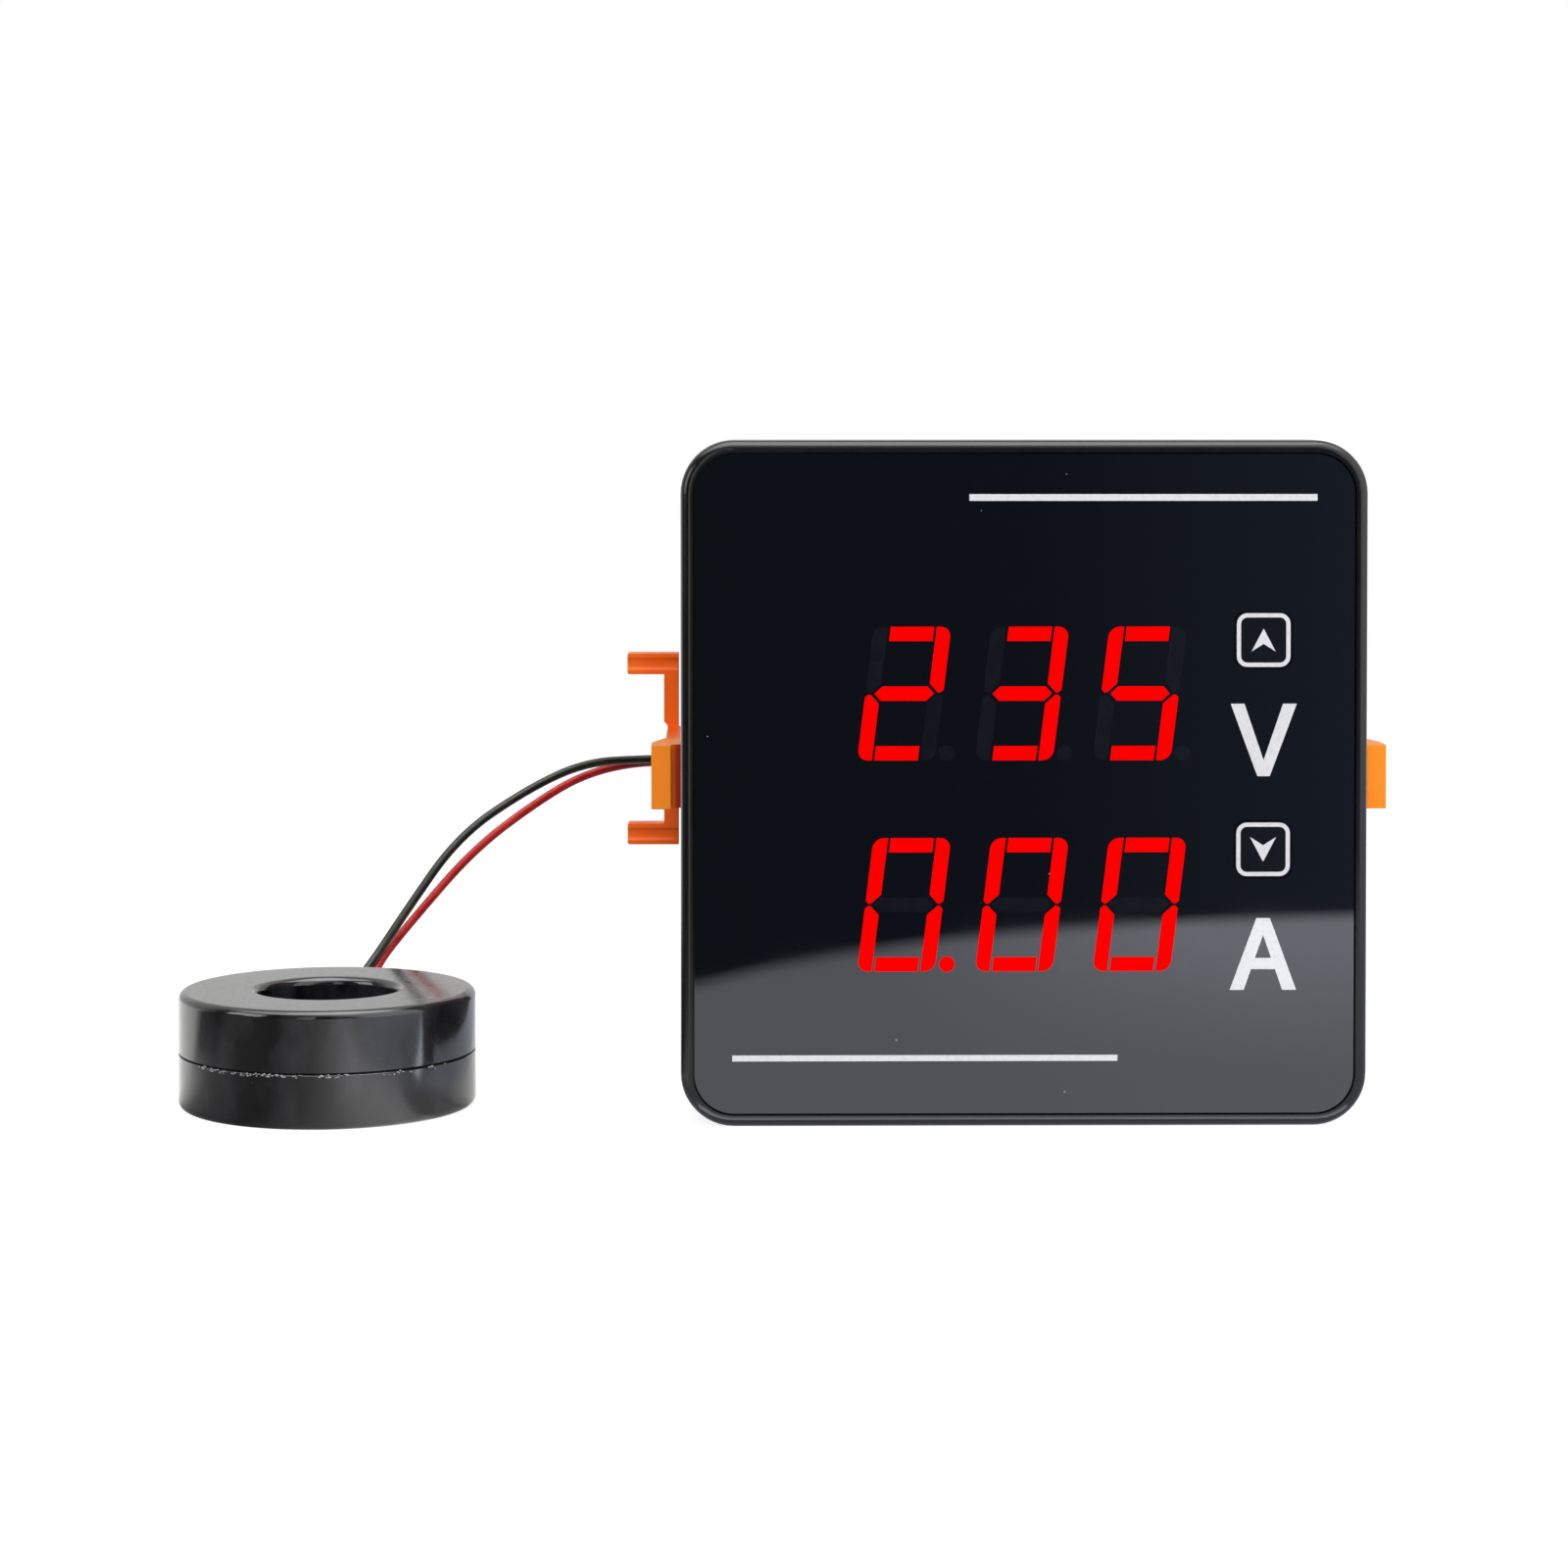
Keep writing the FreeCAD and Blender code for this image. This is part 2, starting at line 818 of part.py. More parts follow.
def rear_cover():
    cover = rounded_plate(case_side, case_corner, case_rear_y, cover_back_y)
    for side in (-1, 1):
        edge = case_inner / 2 - cover_fit
        z = sorted((side * (edge - cover_lip), side * edge))
        half = cover_lip_length / 2
        cover = cover.fuse(block((-half, half), (case_rear_y - cover_lip_depth, case_rear_y), z))
    for flip in (lambda s: s, mirrored_x):
        cover = cover.cut(flip(guide_slot()))
    opening_x = strip_width / 2 + cover_fit
    opening_z = strip_height / 2 + cover_fit
    cover = cover.cut(block((-opening_x, opening_x), (case_rear_y - 1, cover_back_y + 1),
                            (strip_z - opening_z, strip_z + opening_z)))
    for x, z in corner_places(board_screw_place):
        hole = screw_shank_radius + hole_clearance
        cover = cover.cut(cylinder_y(x, z, hole, case_rear_y - 1, cover_back_y + 1))
    first = -vent_pitch * (vent_count - 1) / 2
    for step in range(vent_count):
        x = first + step * vent_pitch
        half = vent_width / 2
        height = (cover_vent_z - vent_length / 2, cover_vent_z + vent_length / 2)
        cover = cover.cut(block((x - half, x + half), (case_rear_y - 1, cover_back_y + 1), height))
    return cover.removeSplitter()


def cover_screws():
    return [case_screw(x, z, cover_back_y, -1) for x, z in corner_places(board_screw_place)]


# Terminal strip

def way_centres():
    return [(step - (ways - 1) / 2) * way_pitch for step in range(ways)]


def has_lug(way):
    return way in (first_lead_way, first_lead_way + 1)


def solder_pin(x, front, back):
    """The flat pin of one way, which runs from its contact plate to the main board."""
    half = solder_pin_width / 2
    return block((x - half, x + half), (front, back),
                 (solder_pin_z - plate_thickness / 2, solder_pin_z + plate_thickness / 2))


def terminal_block():
    half = strip_width / 2
    root_y = case_rear_y - strip_root
    strip = block((-half, half), (root_y, barrier_top_y), (strip_bottom_z, strip_top_z))
    flange_x = half + strip_flange
    strip = strip.fuse(block((-flange_x, flange_x), (case_rear_y - strip_flange_depth, case_rear_y),
                             (strip_bottom_z - strip_flange, strip_top_z + strip_flange)))
    room = (way_pitch - barrier) / 2
    for x in way_centres():
        strip = strip.cut(block((x - room, x + room), (seat_y, barrier_top_y + 1),
                                (strip_bottom_z - 1, strip_top_z - barrier)))
        shaft = terminal_shank_radius + hole_clearance
        shaft_floor = seat_y - terminal_shank_length
        strip = strip.cut(cylinder_y(x, terminal_screw_z, shaft, shaft_floor, seat_y + 1))
        strip = strip.cut(solder_pin(x, root_y - 1, seat_y + 1))
    return strip


def terminal_plate(x):
    """A contact plate with the pin that solders it to the main board."""
    half = plate_width / 2
    plate = block((x - half, x + half), (seat_y, seat_y + plate_thickness),
                  (plate_low_z, plate_low_z + plate_length))
    plate = plate.fuse(solder_pin(x, main_board_y - solder_tail, seat_y))
    hole = terminal_shank_radius + hole_clearance
    return plate.cut(cylinder_y(x, terminal_screw_z, hole, seat_y - 1, seat_y + plate_thickness + 1))


def washer_front_y(way):
    under = seat_y + plate_thickness
    return under + lug_thickness if has_lug(way) else under


def terminal_washer(way, x):
    front = washer_front_y(way)
    back = front + washer_thickness
    washer = rounded_plate(washer_side, washer_corner, front, back, x=x, z=terminal_screw_z)
    hole = terminal_shank_radius + hole_clearance / 2
    return washer.cut(cylinder_y(x, terminal_screw_z, hole, front - 1, back + 1))


def terminal_screw(way, x):
    head_y = washer_front_y(way) + washer_thickness
    return pan_screw(x, terminal_screw_z, head_y, -1, terminal_shank_radius, terminal_shank_length,
                     terminal_head_radius, terminal_head_height)


def lug_axis_y():
    """The lug's barrel is centred on the thickness of its fork."""
    return seat_y + plate_thickness + lug_barrel_radius


def lug_end_z():
    return strip_bottom_z - lug_drop


def lead_lug(x):
    """A fork lug that points up, with its crimped barrel below."""
    front = seat_y + plate_thickness
    back = front + lug_thickness
    fork_top = terminal_screw_z + lug_slot / 2 + lug_neck
    barrel_top = lug_end_z() + lug_barrel_length
    fork = block((x - lug_width / 2, x + lug_width / 2), (front, back), (barrel_top, fork_top))
    slot_half = lug_slot / 2
    slot = block((x - slot_half, x + slot_half), (front - 1, back + 1), (terminal_screw_z, fork_top + 1))
    fork = fork.cut(slot).cut(cylinder_y(x, terminal_screw_z, slot_half, front - 1, back + 1))
    barrel = cylinder_z(x, lug_axis_y(), lug_barrel_radius, lug_end_z(), barrel_top)
    return fork.fuse(barrel).removeSplitter()


# Panel clamps

def clamp():
    """The right clamp: foot, arm with a T head and pawl, and the push grip behind."""
    head_low = guide_floor_u + clamp_clearance
    head_high = guide_lip_u - clamp_clearance
    head_half = guide_width / 2 - clamp_clearance
    neck_half = guide_mouth / 2 - clamp_clearance
    arm_low = case_half + clamp_clearance
    rib_half = rib_height / 2
    foot_half = foot_height / 2
    foot_back = clamp_rest_gap + foot_thickness
    grip_back = grip_front + grip_thickness
    head_front = guide_start + clamp_clearance

    head = block((head_low, head_high), (head_front, grip_front), (-head_half, head_half))
    neck = block((head_low, arm_low), (head_front, grip_front), (-neck_half, neck_half))
    arm = block((arm_low, arm_low + arm_flange), (foot_back, grip_back), (-neck_half, neck_half))
    rib = block((arm_low, rib_outer), (foot_back, grip_back), (-rib_half, rib_half))
    foot = side_prism(
        [
            (arm_low, clamp_rest_gap + foot_step),
            (foot_outer - foot_ridge, clamp_rest_gap + foot_step),
            (foot_outer - foot_ridge, clamp_rest_gap),
            (foot_outer, clamp_rest_gap),
            (foot_outer, foot_back),
            (rib_outer, foot_back + gusset_length),
            (arm_low, foot_back + gusset_length),
        ],
        -foot_half,
        foot_half,
    )
    body = joined([head, neck, arm, rib, foot, push_grip()])
    groove_half = rack_width / 2 + clamp_clearance
    roof = rack_crest_u + rack_height + pawl_clearance
    groove = block((head_low - 1, roof), (head_front - 1, grip_back), (-groove_half, groove_half))
    body = body.cut(groove)
    body = body.fuse(pawl(roof)).removeSplitter()
    for side in (-1, 1):
        z = sorted((side * rib_half, side * (rib_half + slit_width)))
        y = (grip_front - slit_length, grip_front - slit_end)
        body = body.cut(block((head_low - 1, arm_low + arm_flange + 1), y, z))
    return body


def pawl(roof):
    """Saw teeth under the arm that ride over the rack."""
    first = rack_first + math.floor((grip_front - rack_first) / rack_pitch - pawl_teeth) * rack_pitch
    tip = rack_crest_u + pawl_clearance
    points = [(roof, first)]
    for step in range(pawl_teeth):
        start = first + step * rack_pitch
        points.append((tip, start))
        points.append((roof, start + rack_pitch))
    top = roof + rack_height / 2
    points += [(top, first + pawl_teeth * rack_pitch), (top, first)]
    return side_prism(points, -rack_width / 2, rack_width / 2)


def push_grip():
    """The C shaped plate that a thumb pushes, which stands off the case, with a finger at each end."""
    half = grip_height / 2
    neck = grip_notch_height / 2
    step = web_outer - rib_outer
    outline = [
        (web_inner, -half),
        (finger_outer, -half),
        (finger_outer, finger_height - half),
        (web_outer, finger_height - half),
        (web_outer, -neck),
        (rib_outer, step - neck),
        (rib_outer, neck - step),
        (web_outer, neck),
        (web_outer, half - finger_height),
        (finger_outer, half - finger_height),
        (finger_outer, half),
        (web_inner, half),
    ]
    grip = prism(outline, grip_front, grip_thickness)
    corners = [e for e in edges_along(grip, vec(0, 1, 0)) if e.Vertexes[0].X > web_outer + 1]
    grip = grip.makeFillet(finger_round, corners)
    radius = ((finger_hollow / 2) ** 2 + finger_hollow_depth ** 2) / (2 * finger_hollow_depth)
    hollow_y = grip_front + finger_hollow_depth - radius
    for side in (-1, 1):
        start = vec(web_inner, hollow_y, side * (half - finger_height / 2))
        grip = grip.cut(Part.makeCylinder(radius, finger_outer, start, vec(1, 0, 0)))
    return grip


# Transformer ring

def ring_profile(points):
    """A ring turned about the bore from (radius, height) points."""
    corners = [vec(ring_x + r, ring_y, z) for r, z in points]
    face = Part.Face(Part.makePolygon(corners + [corners[0]]))
    return face.revolve(vec(ring_x, ring_y, 0), vec(0, 0, 1), 360)


def rim_circles(shape, z):
    """The circles of a turned shape at one height."""
    circles = [e for e in shape.Edges if isinstance(e.Curve, Part.Circle)]
    return [e for e in circles if abs(e.Curve.Center.z - z) < 1e-6 and abs(e.Curve.Axis.z) > 0.999]


def ring_half(edge_z, inside_z, seam_side):
    """One moulded half: two walls and the end that joins them."""
    groove_z = seam_z + seam_side * seam_groove
    half = ring_profile([
        (ring_bore, edge_z),
        (ring_radius, edge_z),
        (ring_radius, groove_z),
        (ring_radius - seam_groove, seam_z),
        (ring_radius - ring_wall, seam_z),
        (ring_radius - ring_wall, inside_z),
        (ring_bore + ring_wall, inside_z),
        (ring_bore + ring_wall, seam_z),
        (ring_bore, seam_z),
    ])
    return half.makeFillet(ring_round, rim_circles(half, edge_z))


def ring_lower_shell():
    return ring_half(table_z, table_z + ring_floor, -1)


def ring_upper_shell():
    shell = ring_half(ring_top_z, ring_top_z - ring_floor, 1)
    radius = lead_diameter / 2 + lead_hole_clearance
    outside_y = ring_y + ring_radius + 1
    for x in lead_exits():
        shell = shell.cut(cylinder_y(x, lead_exit_z, radius, ring_y + winding_inner, outside_y))
    return shell


def lead_exits():
    middle = ring_x + lead_exit_offset
    return [middle - lead_exit_spread / 2, middle + lead_exit_spread / 2]


def ring_sleeve(inner, outer, low, high):
    return ring_profile([(inner, low), (outer, low), (outer, high), (inner, high)])


def ring_core():
    inset = winding_thickness
    low = winding_low_z + inset
    return ring_sleeve(winding_inner + inset, winding_outer - inset, low, low + ring_core_height)


def ring_winding():
    """The wound wire, as a sleeve that wraps the core all the way round."""
    return ring_sleeve(winding_inner, winding_outer, winding_low_z, winding_high_z).cut(ring_core())


# Leads. Each route is a list of points, from the lug at the terminals to inside the ring's wall.

def lead_start(way):
    return (way_centres()[way], lug_axis_y(), lug_end_z())


def lead_end(x):
    inner_wall = math.sqrt((ring_radius - ring_wall) ** 2 - (x - ring_x) ** 2)
    return (x, ring_y + inner_wall, lead_exit_z)


black_route = [
    (-4.0, 55.0, -1.6),
    (-5.6, 55.7, -4.6),
    (-9.4, 56.7, -6.2),
    (-15.8, 57.9, -5.8),
    (-24.6, 58.9, -4.6),
    (-33.4, 58.7, -3.6),
    (-41.0, 55.2, -3.5),
    (-48.1, 50.0, -3.4),
    (-54.8, 44.4, -6.0),
    (-62.0, 38.3, -11.0),
    (-68.0, 32.9, -19.3),
    (-71.8, 31.4, -23.7),
    (-72.9, 29.2, -26.5),
    (-73.0, 25.6, -27.4),
]
red_route = [
    (4.0, 55.0, -1.6),
    (2.6, 55.6, -4.7),
    (-0.6, 56.6, -6.9),
    (-5.6, 57.9, -7.5),
    (-14.4, 59.7, -7.3),
    (-23.8, 60.9, -6.0),
    (-33.0, 60.6, -4.5),
    (-40.8, 57.1, -3.6),
    (-48.0, 51.8, -4.6),
    (-53.9, 46.9, -7.7),
    (-60.7, 40.9, -12.5),
    (-67.1, 35.1, -19.8),
    (-70.3, 31.8, -24.1),
    (-71.2, 29.2, -26.7),
    (-71.4, 25.4, -27.4),
]


def rounded_path(points):
    """Straight runs joined by tangent arcs, with the tightest radius and the length."""
    spots = [vec(*p) for p in points]
    edges = []
    radii = []
    here = spots[0]
    for before, at, after in zip(spots, spots[1:], spots[2:]):
        run_in = at.sub(before)
        run_out = after.sub(at)
        shorter = min(run_in.Length, run_out.Length)
        way_in = vec(*run_in).normalize()
        way_out = vec(*run_out).normalize()
        half_turn = math.acos(max(-1, min(1, way_in.dot(way_out)))) / 2
        reach = 0.45 * shorter
        radius = reach / math.tan(half_turn)
        start = at.sub(way_in * reach)
        stop = at.add(way_out * reach)
        towards = way_out.sub(way_in).normalize()
        centre = at.add(towards * (radius / math.cos(half_turn)))
        middle = centre.sub(towards * radius)
        edges.append(Part.LineSegment(here, start).toShape())
        edges.append(Part.Arc(start, middle, stop).toShape())
        here = stop
        radii.append(radius)
    edges.append(Part.LineSegment(here, spots[-1]).toShape())
    return Part.Wire(edges), radii


def lead(name, points):
    path, radii = rounded_path(points)
    start = vec(*points[0])
    direction = vec(*points[1]).sub(start)
    section = Part.Wire(Part.makeCircle(lead_diameter / 2, start, direction))
    tube = path.makePipeShell([section], True, False)
    expected = path.Length * math.pi * lead_diameter ** 2 / 4
    print(name, "length", round(path.Length, 2), "tightest radius", round(min(radii), 2),
          "radii", [round(r, 1) for r in radii])
    print(name, "volume", round(tube.Volume, 3), "against", round(expected, 3))
    return tube


def lead_black():
    return lead("lead_black", [lead_start(first_lead_way)] + black_route + [lead_end(lead_exits()[0])])


def lead_red():
    return lead("lead_red", [lead_start(first_lead_way + 1)] + red_route + [lead_end(lead_exits()[1])])


volts = row_segments(volts_z)
amps = row_segments(amps_z)
right_clamp = clamp()

write("front_frame", [front_frame()])
write("front_window", [front_window()])
write("inner_mask", [inner_mask()])
write("key_cap_up", [key_cap(key_up_z)])
write("key_cap_down", [key_cap(key_down_z)])
write("switch_plunger_up", [switch_plunger(key_up_z)])
write("switch_plunger_down", [switch_plunger(key_down_z)])
write("switch_bodies", [switch_body(key_up_z), switch_body(key_down_z)])
write("volts_segments", volts)
write("amps_segments", amps)
write("volts_display_housing", [display_housing(volts_z, volts)])
write("amps_display_housing", [display_housing(amps_z, amps)])
write("display_pins", display_pins())
write("display_board", [display_board()])
write("display_screws", display_screws())
write("controller_chip", [controller_chip()])
write("link_spacers", link_spacers())
write("link_pins", link_pins())
write("main_board", [main_board()])
write("transformer_core", [transformer_core()])
write("transformer_coil", [transformer_coil()])
write("film_capacitor", [film_capacitor()])
write("electrolytic_capacitors", electrolytic_capacitors())
write("case_shell", [case_shell()])
write("rear_cover", [rear_cover()])
write("cover_screws", cover_screws())
write("terminal_block", [terminal_block()])
write("terminal_plates", [terminal_plate(x) for x in way_centres()])
write("terminal_washers", [terminal_washer(way, x) for way, x in enumerate(way_centres())])
write("terminal_screws", [terminal_screw(way, x) for way, x in enumerate(way_centres())])
write("lead_lugs", [lead_lug(x) for way, x in enumerate(way_centres()) if has_lug(way)])
write("clamp_right", [right_clamp])
write("clamp_left", [mirrored_x(right_clamp)])
write("ring_lower_shell", [ring_lower_shell()])
write("ring_upper_shell", [ring_upper_shell()])
write("ring_core", [ring_core()])
write("ring_winding", [ring_winding()])
write("lead_black", [lead_black()])
write("lead_red", [lead_red()])
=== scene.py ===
import math
import random
import bmesh
import bpy
from mathutils import Matrix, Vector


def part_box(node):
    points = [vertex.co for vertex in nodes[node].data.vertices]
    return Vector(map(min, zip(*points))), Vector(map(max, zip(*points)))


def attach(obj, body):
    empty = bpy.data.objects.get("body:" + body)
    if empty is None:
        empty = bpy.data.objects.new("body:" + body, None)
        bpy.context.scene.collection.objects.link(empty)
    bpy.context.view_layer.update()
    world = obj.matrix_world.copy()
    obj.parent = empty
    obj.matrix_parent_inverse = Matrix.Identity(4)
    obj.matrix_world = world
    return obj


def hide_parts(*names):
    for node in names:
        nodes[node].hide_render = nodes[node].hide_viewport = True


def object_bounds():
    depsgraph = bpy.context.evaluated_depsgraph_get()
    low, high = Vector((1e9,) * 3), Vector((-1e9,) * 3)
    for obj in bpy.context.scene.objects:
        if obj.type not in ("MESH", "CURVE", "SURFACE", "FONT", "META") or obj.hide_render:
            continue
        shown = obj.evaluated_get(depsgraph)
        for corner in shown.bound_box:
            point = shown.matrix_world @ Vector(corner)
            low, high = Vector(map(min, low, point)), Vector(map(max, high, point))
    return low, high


# Panel meter with two rows of red digits, orange panel clamps and a ring transformer on two leads.
# Sizes in the dictionaries are millimetres unless a note says otherwise. Colours in threes are
# screen values from 0 to 255, and those in fours are linear.

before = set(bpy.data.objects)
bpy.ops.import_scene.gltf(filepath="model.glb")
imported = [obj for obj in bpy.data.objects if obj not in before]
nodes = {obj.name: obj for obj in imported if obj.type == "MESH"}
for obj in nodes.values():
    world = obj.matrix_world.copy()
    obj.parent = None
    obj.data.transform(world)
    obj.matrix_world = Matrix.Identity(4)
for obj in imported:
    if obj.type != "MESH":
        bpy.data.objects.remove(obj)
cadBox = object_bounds()
scene = bpy.context.scene
mm = 0.001
randomDraw = random.Random(7)
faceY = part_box("front_window")[0].y     # front of the window, in metres
tableZ = cadBox[0].z                    # what the meter and the ring stand on
sharpAngle = 30.0                       # degrees. Edges that turn by more stay sharp.
cornerSteps = 6                         # pieces of a rounded corner


# Camera, at the photograph's angle

cameraSet = {
    "place": (-32.0, -406.0, 41.0),
    "lens": 87.84,
    "sensor": 36.0,
    "tilt": 88.6,            # degrees from straight down
    "turn": -0.67,           # degrees
    "shift": (0.0131, -0.1901),
    "clip": (0.01, 10.0),    # metres
}


def makeCamera():
    lens = bpy.data.cameras.new("photo_camera")
    lens.lens = cameraSet["lens"]
    lens.sensor_width = cameraSet["sensor"]
    lens.shift_x, lens.shift_y = cameraSet["shift"]
    lens.clip_start, lens.clip_end = cameraSet["clip"]
    camera = bpy.data.objects.new("photo_camera", lens)
    camera.location = [v * mm for v in cameraSet["place"]]
    camera.rotation_euler = (math.radians(cameraSet["tilt"]), 0, math.radians(cameraSet["turn"]))
    scene.collection.objects.link(camera)
    scene.camera = camera


makeCamera()
scene.view_settings.view_transform = "Standard"
print("camera is placed")


# Material helpers. Those that take a material work on the world's nodes too.

def linear(red, green, blue):
    # screen values as the linear values that a shader takes
    def part(value):
        share = value / 255
        return share / 12.92 if share <= 0.04045 else ((share + 0.055) / 1.055) ** 2.4
    return (part(red), part(green), part(blue), 1.0)


def startMaterial(name, colour, roughness, metallic=0.0, ior=1.5):
    # colour is linear here
    material = bpy.data.materials.new(name)
    material.use_nodes = True
    shader = material.node_tree.nodes["Principled BSDF"]
    shader.inputs["Base Color"].default_value = colour
    shader.inputs["Roughness"].default_value = roughness
    shader.inputs["Metallic"].default_value = metallic
    shader.inputs["IOR"].default_value = ior
    return material, shader


def addNode(material, kind, **settings):
    node = material.node_tree.nodes.new(kind)
    for key, value in settings.items():
        setattr(node, key, value)
    return node


def link(material, fromSocket, toSocket):
    material.node_tree.links.new(fromSocket, toSocket)


def objectPlace(material):
    # the point on the object, in metres
    return addNode(material, "ShaderNodeTexCoord").outputs["Object"]


def axesOf(material, vector):
    # the X, Y and Z of a vector
    node = addNode(material, "ShaderNodeSeparateXYZ")
    link(material, vector, node.inputs[0])
    return node.outputs["X"], node.outputs["Y"], node.outputs["Z"]


def noise(material, size, detail=3.0, stretch=(1, 1, 1)):
    # noise with features about size millimetres across
    mapping = addNode(material, "ShaderNodeMapping")
    mapping.inputs["Scale"].default_value = stretch
    texture = addNode(material, "ShaderNodeTexNoise")
    texture.inputs["Scale"].default_value = 1 / (size * mm)
    texture.inputs["Detail"].default_value = detail
    link(material, objectPlace(material), mapping.inputs["Vector"])
    link(material, mapping.outputs["Vector"], texture.inputs["Vector"])
    return texture.outputs["Fac"]


def ramp(material, value, low, high, fromLow=0.35, fromHigh=0.65):
    # a number that follows value between two limits
    ranger = addNode(material, "ShaderNodeMapRange")
    ranger.inputs["From Min"].default_value = fromLow
    ranger.inputs["From Max"].default_value = fromHigh
    ranger.inputs["To Min"].default_value = low
    ranger.inputs["To Max"].default_value = high
    link(material, value, ranger.inputs["Value"])
    return ranger.outputs["Result"]


def colourRamp(material, share, span, colours):
    # the colours stand at the values that name them, and share runs from 0 to 1 over the span
    node = addNode(material, "ShaderNodeValToRGB")
    stops = node.color_ramp.elements
    low, high = span
    for value, colour in colours.items():
        place = (value - low) / (high - low)
        stop = stops[0] if place == 0 else stops.new(place)
        stop.color = colour
    stops.remove(stops[-1])
    link(material, share, node.inputs["Fac"])
    return node.outputs["Color"]


def mixColour(material, share, first, second):
    mixer = addNode(material, "ShaderNodeMix", data_type="RGBA")
    for value, socket in ((first, mixer.inputs[6]), (second, mixer.inputs[7])):
        if isinstance(value, tuple):
            socket.default_value = value
        else:
            link(material, value, socket)
    link(material, share, mixer.inputs[0])
    return mixer.outputs[2]


def mixShader(material, share, first, second):
    mixer = addNode(material, "ShaderNodeMixShader")
    link(material, share, mixer.inputs[0])
    link(material, first, mixer.inputs[1])
    link(material, second, mixer.inputs[2])
    return mixer.outputs[0]


def mathNode(material, operation, first, second=None):
    node = addNode(material, "ShaderNodeMath", operation=operation)
    for place, value in enumerate((first, second)):
        if value is None:
            continue
        if isinstance(value, (int, float)):
            node.inputs[place].default_value = value
        else:
            link(material, value, node.inputs[place])
    return node.outputs[0]


def paint(material, shader, share, first, second):
    # the base colour goes from the first to the second with share
    mixed = mixColour(material, share, linear(*first), linear(*second))
    link(material, mixed, shader.inputs["Base Color"])


def polish(material, shader, value, low, high):
    # the roughness follows value
    link(material, ramp(material, value, low, high), shader.inputs["Roughness"])


def addBump(material, shader, height, depth, strength=1.0, edge=0.0):
    # depth in millimetres. edge is the radius that sharp corners seem to have.
    bump = addNode(material, "ShaderNodeBump")
    if edge:
        softener = addNode(material, "ShaderNodeBevel", samples=4)
        softener.inputs["Radius"].default_value = edge * mm
        link(material, softener.outputs["Normal"], bump.inputs["Normal"])
    bump.inputs["Distance"].default_value = depth * mm
    bump.inputs["Strength"].default_value = strength
    link(material, height, bump.inputs["Height"])
    link(material, bump.outputs["Normal"], shader.inputs["Normal"])


def dress(material, *names):
    # gives CAD nodes their finish
    for name in names:
        for slot in nodes[name].material_slots:
            slot.material = material


# Moulded plastic and drawn metal, which most of the pieces are made of

plasticSet = {
    "patchSize": 6.0,
    "glossSize": 1.7,
    "glossRange": (0.94, 1.08),    # shares of the roughness
}
metalSet = {
    "lineSize": 0.25,
    "lineStretch": (1, 1, 6),
    "lineDepth": 0.004,
    "glossRange": (0.7, 1.5),      # shares of the roughness
    "stainSize": 2.2,
    "stain": 0.72,                 # share of the colour that a stain leaves
}


def plastic(name, colour, worn, rough, grain, depth, ior=1.5, edge=0.0):
    # a fine moulded grain, uneven gloss and patches of a slightly worn colour
    material, shader = startMaterial(name, linear(*colour), rough, ior=ior)
    patches = noise(material, plasticSet["patchSize"])
    paint(material, shader, ramp(material, patches, 0, 1), colour, worn)
    low, high = plasticSet["glossRange"]
    polish(material, shader, noise(material, plasticSet["glossSize"], detail=4), rough * low, rough * high)
    addBump(material, shader, noise(material, grain, detail=2), depth, edge=edge)
    return material


def metal(name, colour, rough):
    # fine lines from rolling or drawing, and faint stains
    clean = linear(*colour)
    stained = tuple(part * metalSet["stain"] for part in clean[:3]) + (1.0,)
    material, shader = startMaterial(name, clean, rough, metallic=1.0)
    lines = noise(material, metalSet["lineSize"], detail=5, stretch=metalSet["lineStretch"])
    stains = ramp(material, noise(material, metalSet["stainSize"]), 0, 1)
    link(material, mixColour(material, stains, clean, stained), shader.inputs["Base Color"])
    low, high = metalSet["glossRange"]
    polish(material, shader, lines, rough * low, rough * high)
    addBump(material, shader, lines, metalSet["lineDepth"])
    return material


def dressAll(maker, finishes):
    # one dictionary for each finish: its nodes, and what its maker takes
    for name, finish in finishes.items():
        settings = {key: value for key, value in finish.items() if key != "nodes"}
        dress(maker(name, **settings), *finish["nodes"])


# Piece helpers

def millimetres(shape):
    bmesh.ops.scale(shape, vec=(mm, mm, mm), verts=shape.verts)


def makePiece(name, shape, material, body):
    bmesh.ops.recalc_face_normals(shape, faces=shape.faces)
    mesh = bpy.data.meshes.new(name)
    shape.to_mesh(mesh)
    shape.free()
    mesh.materials.append(material)
    mesh.shade_smooth()
    mesh.set_sharp_from_angle(angle=math.radians(sharpAngle))
    piece = bpy.data.objects.new(name, mesh)
    scene.collection.objects.link(piece)
    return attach(piece, body)


def addOutline(shape, corners, place=(0, 0), lean=0.0):
    # a face seen from the front, from (x, z, corner radius) in millimetres
    older = set(shape.verts)
    points = [shape.verts.new((x, 0, z)) for x, z, radius in corners]
    shape.faces.new(points)
    for point, corner in zip(points, corners):
        if corner[2] > 0:
            bmesh.ops.bevel(shape, geom=[point], offset=corner[2], offset_type="OFFSET", affect="VERTICES",
                            segments=cornerSteps, profile=0.5, material=-1)
    leaning = Matrix.Identity(4)
    leaning[0][2] = math.tan(math.radians(lean))
    moved = Matrix.Translation((place[0], 0, place[1])) @ leaning
    bmesh.ops.transform(shape, matrix=moved, verts=[point for point in shape.verts if point not in older])


